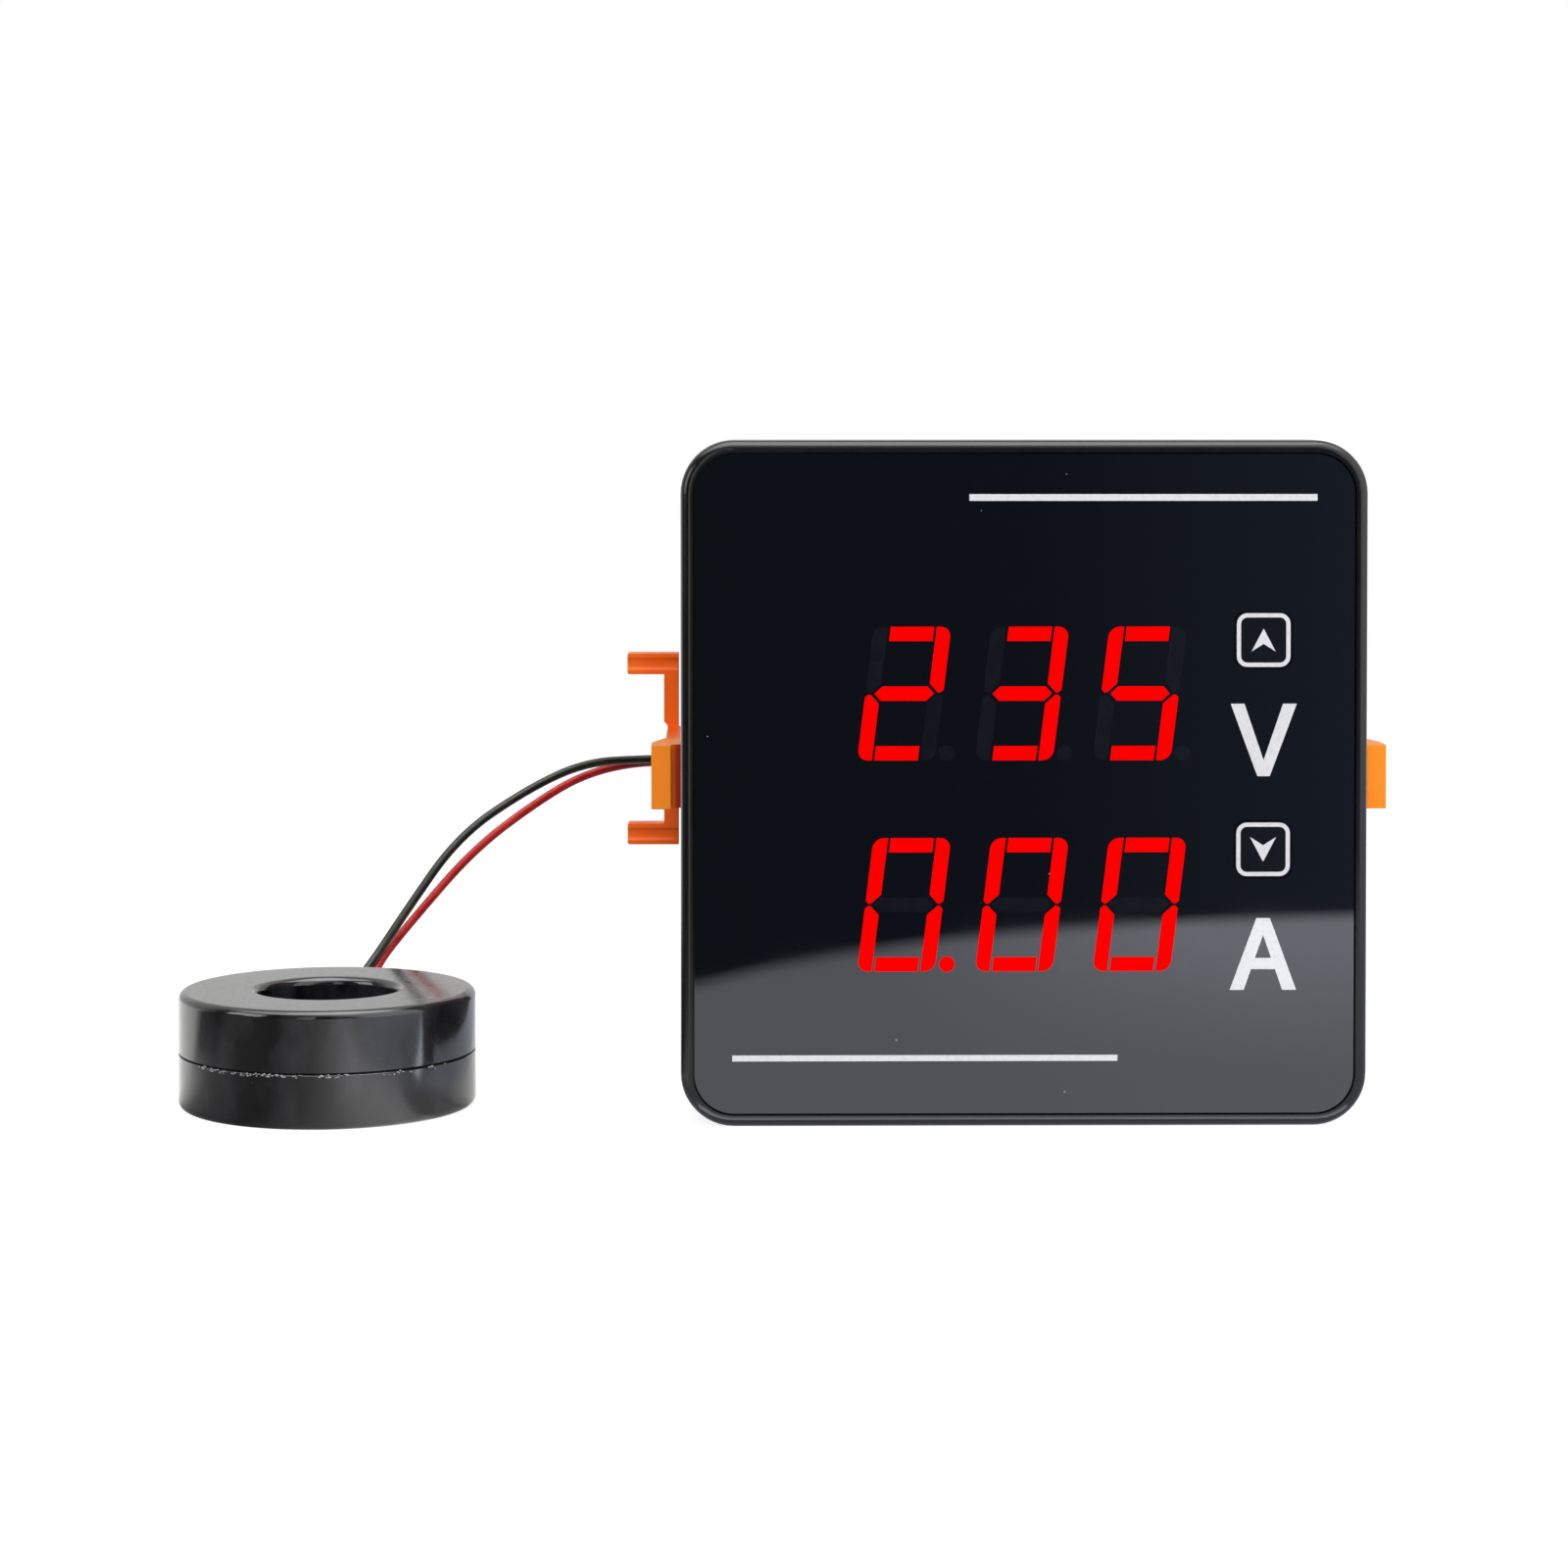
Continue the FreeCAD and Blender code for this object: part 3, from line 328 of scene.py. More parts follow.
def raiseInk(shape, front, thickness):
    # turns flat faces into a film that stands on the surface at front, in metres
    millimetres(shape)
    grown = bmesh.ops.extrude_face_region(shape, geom=list(shape.faces))
    points = [part for part in grown["geom"] if isinstance(part, bmesh.types.BMVert)]
    bmesh.ops.translate(shape, vec=(0, -thickness * mm, 0), verts=points)
    bmesh.ops.translate(shape, vec=(0, front, 0), verts=shape.verts)


# Leads. Each route runs from the lug at the terminals to the hole in the ring.

leadSet = {
    "diameter": 1.0,
    "stepsAlong": 10,          # between two points of the route
    "stepsRound": 5,           # on a quarter of the way round
    "order": 3,                # points that pull on the curve together
    "roughness": 0.42,
    "sheenSize": 3.2,          # paler patches at random: painted sheen
    "sheenSpan": (0.3, 0.7),
    "glossSize": 0.5,
    "gloss": (0.34, 0.5),
    "rippleSize": 0.35,
    "rippleDepth": 0.012,
}
leads = {
    "black": {
        "length": 100.1,
        "colour": (18, 20, 13),
        # paler colour of the painted sheen
        "sheen": (38, 38, 24),
        "route": [
            (-4.0, 55.0, 1.7), (-4.0, 55.0, -1.6), (-5.6, 55.7, -4.6), (-9.4, 56.7, -6.2),
            (-15.8, 57.9, -5.8), (-24.6, 58.9, -4.6), (-33.4, 58.7, -3.5), (-41.0, 55.2, -3.25),
            (-48.1, 51.0, -3.25), (-54.9, 46.9, -6.15), (-62.6, 42.3, -11.1), (-68.5, 37.9, -19.5),
            (-71.6, 35.5, -24.2), (-73.8, 32.2, -27.0), (-73.1, 27.1, -27.6), (-73.0, 22.03, -27.4),
        ],
    },
    "red": {
        "length": 108.2,
        "colour": (176, 16, 20),
        "sheen": (202, 48, 44),
        "route": [
            (4.0, 55.0, 1.7), (4.0, 55.0, -1.6), (2.6, 55.6, -4.7), (-0.6, 56.6, -6.9),
            (-5.6, 57.9, -7.5), (-14.4, 59.7, -7.3), (-23.8, 60.9, -6.0), (-33.0, 60.6, -4.5),
            (-40.8, 57.1, -3.6), (-48.0, 52.8, -4.7), (-54.0, 49.4, -8.0), (-61.0, 44.9, -13.0),
            (-67.7, 40.1, -20.5), (-71.3, 36.3, -24.8), (-72.2, 32.2, -27.2), (-71.5, 26.9, -27.6),
            (-71.4, 21.79, -27.4),
        ],
    },
}


def leadMaterial(name, colour, sheen):
    # soft insulation with a faint ripple, and painted sheen in paler patches at random
    material, shader = startMaterial(name, linear(*colour), leadSet["roughness"])
    patches = ramp(material, noise(material, leadSet["sheenSize"], detail=2), 0, 1, *leadSet["sheenSpan"])
    paint(material, shader, patches, colour, sheen)
    polish(material, shader, noise(material, leadSet["glossSize"]), *leadSet["gloss"])
    addBump(material, shader, noise(material, leadSet["rippleSize"], detail=2), leadSet["rippleDepth"])
    return material


def makeLead(node, route, material):
    curve = bpy.data.curves.new(node + "_wire", "CURVE")
    curve.dimensions = "3D"
    line = curve.splines.new("NURBS")
    line.points.add(len(route) - 1)
    for point, spot in zip(line.points, route):
        point.co = (spot[0] * mm, spot[1] * mm, spot[2] * mm, 1)
    line.order_u = leadSet["order"]
    line.use_endpoint_u = True
    line.resolution_u = leadSet["stepsAlong"]
    curve.bevel_depth = leadSet["diameter"] / 2 * mm
    curve.bevel_resolution = leadSet["stepsRound"]
    curve.use_fill_caps = True
    curve.materials.append(material)
    lead = bpy.data.objects.new(node + "_wire", curve)
    scene.collection.objects.link(lead)
    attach(lead, "meter")
    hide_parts(node)


for leadName, leadData in leads.items():
    insulation = leadMaterial(leadName + " insulation", leadData["colour"], leadData["sheen"])
    makeLead("lead_" + leadName, leadData["route"], insulation)
print("leads are laid")


# Front frame and window

frontPlastics = {
    "frame black": {
        "nodes": ["front_frame"],
        "colour": (12, 12, 15), "worn": (16, 16, 19), "rough": 0.2, "grain": 0.12, "depth": 0.001,
    },
    "mask black": {
        "nodes": ["inner_mask"],
        "colour": (20, 20, 21), "worn": (26, 26, 27), "rough": 0.6, "grain": 0.2, "depth": 0.004,
    },
}
windowSet = {
    "colour": (5, 6, 8),
    "ior": 2.0,
    "roughness": 0.03,
    "filmSize": 9.0,             # a faint film that dulls the gloss here and there
    "gloss": (0.02, 0.045),
    "dustSize": 5.2,             # mean distance between dust specks
    "dustReach": 0.02,           # share of that distance that a speck covers
    "dustColour": (126, 126, 125),
}


def startGloss(name, colour):
    # the window's gloss, which what is printed on it shares
    return startMaterial(name, linear(*colour), windowSet["roughness"], ior=windowSet["ior"])


def windowMaterial():
    # smoked acrylic: black, very glossy, with a few dust specks on it
    material, shader = startGloss("smoked window", windowSet["colour"])
    specks = addNode(material, "ShaderNodeTexVoronoi", feature="F1")
    specks.inputs["Scale"].default_value = 1 / (windowSet["dustSize"] * mm)
    link(material, objectPlace(material), specks.inputs["Vector"])
    isSpeck = mathNode(material, "LESS_THAN", specks.outputs["Distance"], windowSet["dustReach"])
    paint(material, shader, isSpeck, windowSet["colour"], windowSet["dustColour"])
    polish(material, shader, noise(material, windowSet["filmSize"], detail=2), *windowSet["gloss"])
    return material


dressAll(plastic, frontPlastics)
dress(windowMaterial(), "front_window")
print("front is dressed")


# Digits. Each bar is a thin film on the window, over the luminous segment behind it.

digitSet = {
    "width": 8.12,
    "height": 14.0,
    "pitch": 12.34,
    "middleX": -0.27,
    "rise": {"volts": 0.3, "amps": 0.36},   # above the middle of the row's segments
    "lean": 7.0,                 # degrees
    "uprightWidth": 1.52,
    "barHeight": 1.5,
    "gap": 0.27,
    "corner": 1.1,
    "tip": 0.95,
    "split": 0.24,
    "middleGap": 0.5,
    "pointRadius": 0.82,
    "pointAside": 1.19,
    "pointRise": 0.76,
    "pointSteps": 40,
    "film": 0.03,
    "litBody": (0.03, 0.0, 0.0, 1.0),
    "litRoughness": 0.9,
    "glow": (1.0, 0, 0, 1),
    "deepGlow": (0.95, 0, 0, 1),
    "glowSize": 3.0,
    "unlit": (13, 14, 17),
    "unlitPatches": ((12, 13, 16), (16, 17, 20)),
    "unlitSize": 2.0,
}
litBars = {"0": "abcdef", "2": "abdeg", "3": "abcdg", "5": "acdfg"}
rows = {"volts": "235", "amps": "0.00"}
digitPlastics = {
    "segment epoxy": {
        "nodes": ["volts_segments", "amps_segments"],
        "colour": (120, 112, 106), "worn": (132, 120, 112), "rough": 0.45, "grain": 0.3, "depth": 0.002,
    },
    "module grey": {
        "nodes": ["volts_display_housing", "amps_display_housing"],
        "colour": (62, 62, 64), "worn": (70, 70, 71), "rough": 0.5, "grain": 0.25, "depth": 0.003,
    },
}


def uprightCorners(right, top):
    outer = digitSet["width"] / 2
    inner = outer - digitSet["uprightWidth"]
    low = digitSet["split"] / 2
    blunt = (digitSet["uprightWidth"] - digitSet["tip"]) / 2
    high = digitSet["height"] / 2
    corners = [
        (inner, high, 0),
        (inner, low + digitSet["tip"], 0),
        (inner + digitSet["tip"], low, 0),
        (outer - blunt, low, 0),
        (outer, low + blunt, 0),
        (outer, high, digitSet["corner"]),
    ]
    return [(x * right, z * top, radius) for x, z, radius in corners]


def barCorners(top):
    half = digitSet["width"] / 2 - digitSet["uprightWidth"] - digitSet["gap"]
    high = digitSet["height"] / 2
    low = high - digitSet["barHeight"]
    return [(x, z * top, 0) for x, z in ((-half, high), (-half, low), (half, low), (half, high))]


def middleCorners():
    rise = digitSet["barHeight"] / 2
    reach = (digitSet["width"] / 2 - digitSet["uprightWidth"] + digitSet["split"] / 2
             + digitSet["tip"] - digitSet["middleGap"])
    flat = reach - rise
    corners = [(-reach, 0), (-flat, -rise), (flat, -rise), (reach, 0), (flat, rise), (-flat, rise)]
    return [(x, z, 0) for x, z in corners]


barShapes = {
    "a": barCorners(1),
    "b": uprightCorners(1, 1),
    "c": uprightCorners(1, -1),
    "d": barCorners(-1),
    "e": uprightCorners(-1, -1),
    "f": uprightCorners(-1, 1),
    "g": middleCorners(),
}


def addPoint(shape, place):
    lean = math.tan(math.radians(digitSet["lean"]))
    z = digitSet["pointRise"] - digitSet["height"] / 2
    x = digitSet["width"] / 2 + digitSet["pointAside"] + z * lean
    turned = Matrix.Translation((place[0] + x, 0, place[1] + z)) @ Matrix.Rotation(math.pi / 2, 4, "X")
    bmesh.ops.create_circle(shape, cap_ends=True, radius=digitSet["pointRadius"],
                            segments=digitSet["pointSteps"], matrix=turned)


def digitShapes(text, middleZ):
    # the lit and the unlit films of one row
    lit, unlit = bmesh.new(), bmesh.new()
    signs = [[sign, False] for sign in text if sign != "."]
    before = -1
    for sign in text:
        if sign == ".":
            signs[before][1] = True
        else:
            before += 1
    for step, (sign, hasPoint) in enumerate(signs):
        x = digitSet["middleX"] + (step - (len(signs) - 1) / 2) * digitSet["pitch"]
        for bar, corners in barShapes.items():
            shape = lit if bar in litBars[sign] else unlit
            addOutline(shape, corners, (x, middleZ), digitSet["lean"])
        addPoint(lit if hasPoint else unlit, (x, middleZ))
    for shape in (lit, unlit):
        raiseInk(shape, faceY, digitSet["film"])
    return lit, unlit


def litMaterial():
    # evenly lit red plastic, a shade deeper in places
    material, shader = startMaterial("lit segment", digitSet["litBody"], digitSet["litRoughness"])
    shader.inputs["Specular IOR Level"].default_value = 0.0
    shader.inputs["Emission Strength"].default_value = 1.0
    patches = ramp(material, noise(material, digitSet["glowSize"]), 0, 1)
    glow = mixColour(material, patches, digitSet["glow"], digitSet["deepGlow"])
    link(material, glow, shader.inputs["Emission Color"])
    return material


def unlitMaterial():
    # the window's gloss over the pale grey of an unlit segment
    material, shader = startGloss("unlit segment", digitSet["unlit"])
    patches = ramp(material, noise(material, digitSet["unlitSize"]), 0, 1)
    paint(material, shader, patches, *digitSet["unlitPatches"])
    return material


def makeDigits():
    glowing, dark = litMaterial(), unlitMaterial()
    for row, text in rows.items():
        low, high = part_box(row + "_segments")
        lit, unlit = digitShapes(text, (low.z + high.z) / 2 / mm + digitSet["rise"][row])
        makePiece(row + "_lit_bars", lit, glowing, "meter")
        makePiece(row + "_unlit_bars", unlit, dark, "meter")


makeDigits()
dressAll(plastic, digitPlastics)
print("digits are lit")


# Print on the window: two lines and the two unit letters

printSet = {
    "film": 0.02,
    "lines": (((-5.82, 30.59), (29.68, 30.38)), ((-30.6, 9.78), (-29.05, -28.42))),
    "voltsPlace": (25.03, 0.83),    # middle of the letter's foot
    "voltsSize": (6.93, 7.6),
    "voltsStroke": 1.44,
    "voltsFoot": 1.3,
    "voltsCrotch": 1.68,
    "ampsPlace": (25.03, -21.62),
    "ampsSize": (6.98, 7.55),
    "ampsStroke": 1.47,
    "ampsTop": 1.43,
    "ampsCrotch": 5.78,             # height of the inner apex
    "ampsBar": (2.18, 3.36),
    "ink": (210, 210, 214),
    "thick": (212, 212, 215),
    "thin": (194, 195, 202),
    "thinSize": 0.4,
    "thinSpan": (0.45, 0.85),
}


def inkMaterial():
    # white screen print, slightly uneven, under the gloss of the window
    material, shader = startGloss("white print", printSet["ink"])
    patches = ramp(material, noise(material, printSet["thinSize"], detail=5), 0, 1, *printSet["thinSpan"])
    paint(material, shader, patches, printSet["thick"], printSet["thin"])
    return material


def makeLines(ink):
    shape = bmesh.new()
    for (left, right), (low, high) in printSet["lines"]:
        addOutline(shape, [(left, low, 0), (right, low, 0), (right, high, 0), (left, high, 0)])
    raiseInk(shape, faceY, printSet["film"])
    makePiece("printed_lines", shape, ink, "meter")


def makeVolts(ink):
    shape = bmesh.new()
    half, high = printSet["voltsSize"][0] / 2, printSet["voltsSize"][1]
    foot = printSet["voltsFoot"] / 2
    inner = half - printSet["voltsStroke"]
    corners = [(-foot, 0), (foot, 0), (half, high), (inner, high), (0, printSet["voltsCrotch"]),
               (-inner, high), (-half, high)]
    addOutline(shape, [(x, z, 0) for x, z in corners], printSet["voltsPlace"])
    raiseInk(shape, faceY, printSet["film"])
    makePiece("volts_mark", shape, ink, "meter")


def makeAmps(ink):
    # the outer outline and the hole above the crossbar, filled between
    shape = bmesh.new()
    half, high = printSet["ampsSize"][0] / 2, printSet["ampsSize"][1]
    inner = half - printSet["ampsStroke"]
    crotch = printSet["ampsCrotch"]
    barLow, barHigh = printSet["ampsBar"]

    def innerLine(z):
        return inner * (1 - z / crotch)

    top = printSet["ampsTop"] / 2
    outer = [(-half, 0), (-inner, 0), (-innerLine(barLow), barLow), (innerLine(barLow), barLow), (inner, 0),
             (half, 0), (top, high), (-top, high)]
    hole = [(-innerLine(barHigh), barHigh), (innerLine(barHigh), barHigh), (0, crotch)]
    for loop in (outer, hole):
        points = [shape.verts.new((x, 0, z)) for x, z in loop]
        for first, second in zip(points, points[1:] + points[:1]):
            shape.edges.new((first, second))
    bmesh.ops.triangle_fill(shape, use_beauty=True, edges=shape.edges)
    x, z = printSet["ampsPlace"]
    bmesh.ops.translate(shape, vec=(x, 0, z), verts=shape.verts)
    raiseInk(shape, faceY, printSet["film"])
    makePiece("amps_mark", shape, ink, "meter")


whiteInk = inkMaterial()
makeLines(whiteInk)
makeVolts(whiteInk)
makeAmps(whiteInk)
print("print is on the window")


# Keys and their switches

keySet = {
    "outline": 5.62,
    "line": 0.44,
    "corner": 1.1,
    "arrowWidth": 2.75,
    "arrowHeight": 2.6,
    "arrowNotch": 0.87,
    "arrowUp": 0.92,         # the upper arrow is printed a little smaller
    "film": 0.03,
}
keyPlastics = {
    "key black": {
        "nodes": ["key_cap_up", "key_cap_down"],
        "colour": (7, 8, 10), "worn": (10, 11, 13), "rough": 0.05, "grain": 0.5, "depth": 0.0006, "ior": 2.0,
    },
    "plunger black": {
        "nodes": ["switch_plunger_up", "switch_plunger_down"],
        "colour": (30, 30, 32), "worn": (38, 38, 40), "rough": 0.4, "grain": 0.2, "depth": 0.002,
    },
    "switch body black": {
        "nodes": ["switch_bodies"],
        "colour": (25, 25, 27), "worn": (33, 33, 34), "rough": 0.5, "grain": 0.2, "depth": 0.003,
    },
}


def makeKeyMarks(key, ink, upwards):
    # a square outline, and an arrow that points up for 1 and down for -1
    low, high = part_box("key_cap_" + key)
    x, z = (low.x + high.x) / 2 / mm, (low.z + high.z) / 2 / mm
    shape = bmesh.new()
    half = keySet["outline"] / 2
    corner = keySet["corner"]
    square = [(-half, -half, corner), (half, -half, corner), (half, half, corner), (-half, half, corner)]
    addOutline(shape, square, (x, z))
    inside = list(shape.faces)
    bmesh.ops.inset_region(shape, faces=inside, thickness=keySet["line"],
                           use_boundary=True, use_even_offset=True)
    bmesh.ops.delete(shape, geom=inside, context="FACES_ONLY")
    scale = keySet["arrowUp"] if upwards > 0 else 1.0
    wide, rise, notch = (scale * keySet[name] for name in ("arrowWidth", "arrowHeight", "arrowNotch"))
    arrow = [(-wide / 2, -rise / 2), (0, notch - rise / 2), (wide / 2, -rise / 2), (0, rise / 2)]
    addOutline(shape, [(px, pz * upwards, 0) for px, pz in arrow], (x, z))
    raiseInk(shape, low.y, keySet["film"])
    makePiece("key_marks_" + key, shape, ink, "key_" + key)


makeKeyMarks("up", whiteInk, 1)
makeKeyMarks("down", whiteInk, -1)
dressAll(plastic, keyPlastics)
print("keys are marked")


# Case, cover, terminals and what is inside

casePlastics = {
    "case black": {
        "nodes": ["case_shell", "rear_cover"],
        "colour": (19, 19, 21), "worn": (23, 23, 25), "rough": 0.42, "grain": 0.16, "depth": 0.003,
        "edge": 0.2,
    },
    "terminal black": {
        "nodes": ["terminal_block"],
        "colour": (16, 16, 17), "worn": (22, 22, 23), "rough": 0.36, "grain": 0.2, "depth": 0.004,
        "edge": 0.15,
    },
    "chip black": {
        "nodes": ["controller_chip"],
        "colour": (28, 28, 30), "worn": (36, 36, 37), "rough": 0.55, "grain": 0.15, "depth": 0.006,
    },
    "spacer black": {
        "nodes": ["link_spacers"],
        "colour": (24, 24, 25), "worn": (30, 30, 31), "rough": 0.45, "grain": 0.2, "depth": 0.003,
    },
    "film blue": {
        "nodes": ["film_capacitor"],
        "colour": (36, 82, 168), "worn": (48, 96, 182), "rough": 0.25, "grain": 0.6, "depth": 0.004,
    },
    "can sleeve": {
        "nodes": ["electrolytic_capacitors"],
        "colour": (28, 34, 58), "worn": (36, 42, 68), "rough": 0.25, "grain": 0.8, "depth": 0.004,
    },
}
caseMetals = {
    "plate brass": {"nodes": ["terminal_plates"], "colour": (214, 178, 104), "rough": 0.3},
    "lug tin": {"nodes": ["lead_lugs"], "colour": (196, 196, 192), "rough": 0.3},
    "screw steel": {
        "nodes": ["terminal_screws", "terminal_washers", "cover_screws", "display_screws"],
        "colour": (186, 186, 184), "rough": 0.28,
    },
    "pin tin": {"nodes": ["display_pins", "link_pins"], "colour": (200, 200, 196), "rough": 0.3},
}
boardSet = {
    "colour": (20, 82, 40),
    "mask": ((18, 78, 38), (24, 90, 46)),
    "track": (46, 118, 62),
    "trackSize": 7.0,
    "trackWidth": 0.04,        # share of the track size
    "trackDepth": 0.03,
    "trackStrength": 0.4,
    "roughness": 0.3,
}
transformerFinishes = {
    "core steel": {        # stacked sheets, seen as fine lines through the stack
        "nodes": ["transformer_core"],
        "colour": (96, 94, 92), "stripes": ((58, 56, 55), (128, 126, 124)), "across": "Y",
        "spread": 3.2, "waver": 0.3, "depth": 0.06, "rough": 0.45, "metallic": 0.9,
    },
    "coil tape": {         # laid round the coil with its laps showing
        "nodes": ["transformer_coil"],
        "colour": (206, 170, 52), "stripes": ((196, 156, 44), (220, 188, 72)), "across": "Z",
        "spread": 16.0, "waver": 1.2, "depth": 0.05, "rough": 0.38,
    },
}


def boardMaterial():
    # green solder mask over faint copper tracks
    material, shader = startMaterial("board green", linear(*boardSet["colour"]), boardSet["roughness"])
    tracks = addNode(material, "ShaderNodeTexBrick")
    tracks.inputs["Scale"].default_value = 1 / (boardSet["trackSize"] * mm)
    tracks.inputs["Color1"].default_value = linear(*boardSet["mask"][0])
    tracks.inputs["Color2"].default_value = linear(*boardSet["mask"][1])
    tracks.inputs["Mortar"].default_value = linear(*boardSet["track"])
    tracks.inputs["Mortar Size"].default_value = boardSet["trackWidth"]
    upright = addNode(material, "ShaderNodeMapping")
    upright.inputs["Rotation"].default_value = (math.pi / 2, 0, 0)
    link(material, objectPlace(material), upright.inputs["Vector"])
    link(material, upright.outputs["Vector"], tracks.inputs["Vector"])
    link(material, tracks.outputs["Color"], shader.inputs["Base Color"])
    addBump(material, shader, tracks.outputs["Fac"], boardSet["trackDepth"],
            strength=boardSet["trackStrength"])
    return material


def striped(name, colour, stripes, across, spread, waver, depth, rough, metallic=0.0):
    # stripes across one axis, about three to each spread
    material, shader = startMaterial(name, linear(*colour), rough, metallic=metallic)
    bands = addNode(material, "ShaderNodeTexWave", wave_type="BANDS", bands_direction=across)
    bands.inputs["Scale"].default_value = 1 / (spread * mm)
    bands.inputs["Distortion"].default_value = waver
    link(material, objectPlace(material), bands.inputs["Vector"])
    paint(material, shader, bands.outputs["Fac"], *stripes)
    addBump(material, shader, bands.outputs["Fac"], depth)
    return material


dressAll(plastic, casePlastics)
dressAll(metal, caseMetals)
dress(boardMaterial(), "display_board", "main_board")
dressAll(striped, transformerFinishes)
print("case and inner parts are dressed")


# Panel clamps

clampSet = {
    "bright": (255, 142, 28),
    # the orange of the painted shade, towards the grip
    "shadedOrange": (248, 102, 8),
    # the red of the painted shadow beside the frame
    "red": (184, 40, 6),
    "pale": (5.0, 30.0),           # painted shade: the colour deepens from the foot to the grip, where less light falls
    "tip": (40.0, 45.5),           # and the painted shade lifts again towards the ends of the fingers, a painted highlight there
    "tipLightShare": 0.55,
    "shadowAside": (36.5, 37.2),      # painted shadow: red beside the frame, on the front of the foot that the frame shades
    "shadowFacing": (-0.9, -0.4),
    "shadowEnd": (4.6, 5.6),
    "flowSize": 3.5,
    "flowStretch": (1, 0.5, 1),
    "flowReach": (-0.1, 0.1),
    "roughness": 0.4,
    "glossSize": 0.9,
    "gloss": (0.34, 0.48),
    "specular": 0.35,
    "inner": 0.15,                 # share of the light that goes through the surface
    "innerReach": (1.6, 0.5, 0.2),
    "grainSize": 0.18,
    "grainDepth": 0.004,
    "edge": 0.15,
}


def clampMaterial():
    # orange moulded plastic, slightly translucent, with flow marks, painted shade towards the grip and a
    # painted shadow beside the frame
    bright, shadedOrange, red = (linear(*clampSet[name]) for name in ("bright", "shadedOrange", "red"))
    material, shader = startMaterial("clamp orange", bright, clampSet["roughness"])
    shader.inputs["Specular IOR Level"].default_value = clampSet["specular"]
    flow = noise(material, clampSet["flowSize"], stretch=clampSet["flowStretch"])
    x, y = axesOf(material, objectPlace(material))[:2]
    along = mathNode(material, "DIVIDE", y, mm)
    aside = mathNode(material, "ABSOLUTE", mathNode(material, "DIVIDE", x, mm))
    # painted shade: deeper towards the grip, lighter again at the ends of the fingers
    deeper = mathNode(material, "MULTIPLY", ramp(material, along, 0, 1, *clampSet["pale"]),
                      ramp(material, aside, 1, clampSet["tipLightShare"], *clampSet["tip"]))
    depth = mathNode(material, "ADD", deeper, ramp(material, flow, *clampSet["flowReach"]))
    # painted shadow: red on the front-facing part of the foot next to the frame
    facing = axesOf(material, addNode(material, "ShaderNodeTexCoord").outputs["Normal"])[1]
    thick = mathNode(material, "MULTIPLY", ramp(material, facing, 1, 0, *clampSet["shadowFacing"]),
                     ramp(material, along, 1, 0, *clampSet["shadowEnd"]))
    thick = mathNode(material, "MULTIPLY", thick, ramp(material, aside, 1, 0, *clampSet["shadowAside"]))
    orange = mixColour(material, depth, bright, shadedOrange)
    link(material, mixColour(material, thick, orange, red), shader.inputs["Base Color"])
    polish(material, shader, noise(material, clampSet["glossSize"]), *clampSet["gloss"])
    shader.inputs["Subsurface Weight"].default_value = clampSet["inner"]
    shader.inputs["Subsurface Radius"].default_value = [v * mm for v in clampSet["innerReach"]]
    shader.inputs["Subsurface Scale"].default_value = 1.0
    addBump(material, shader, noise(material, clampSet["grainSize"], detail=2), clampSet["grainDepth"],
            edge=clampSet["edge"])
    return material


dress(clampMaterial(), "clamp_left", "clamp_right")
print("clamps are dressed")


# Ring transformer

ringSet = {
    "colour": (10, 10, 11),
    "ior": 1.7,
    "roughness": 0.13,
    "scratchSize": 0.6,
    "scratchStretch": (1, 1, 5),
    "gloss": (0.08, 0.18),
    "clouds": (42, 42, 46),            # where the ring was handled
    "cloudSize": 5.0,
    "cloudStretch": (1, 1, 0.6),
    "cloudSpan": (0.42, 0.68),
    "dust": (70, 68, 64),
    "dustSize": 0.3,
    "dustSpan": (0.7, 0.8),
    "rippleSize": 1.5,
    "rippleDepth": 0.004,
}
windingSet = {
    "colour": (168, 92, 48),
    "turns": ((120, 58, 30), (196, 112, 60)),
    "wire": 0.3,
    "wireStretch": (1, 1, 0.05),
    "depth": 0.12,
    "roughness": 0.3,
    "metallic": 0.8,
}
ringPlastics = {
    "core strip": {
        "nodes": ["ring_core"],
        "colour": (70, 68, 66), "worn": (84, 82, 80), "rough": 0.5, "grain": 0.2, "depth": 0.004,
    },
}
glueSet = {
    "beads": 90,
    "reach": (-52.0, 14.0),            # degrees round the ring from its front
    "stray": (24.0, 60.0),             # a few more stand apart
    "strayShare": 0.14,
    "length": (0.08, 0.24),
    "height": (0.05, 0.12),
    "depth": 0.07,
    "drop": (-0.4, -0.04),
    "fineness": 2,
    "colour": (150, 150, 152),
    "patches": ((70, 70, 72), (170, 170, 172)),
    "patchSize": 0.5,
    "roughness": 0.45,
}
# a dark matt band that paints the shade in the seam's groove
seamSet = {
    "height": 0.15,
    "inset": 0.01,
    "steps": 96,
    "colour": (12, 12, 12),
    "patches": ((6, 6, 6), (20, 20, 20)),
    "patchSize": 1.0,
    "roughness": 0.8,
    "specular": 0.1,
}


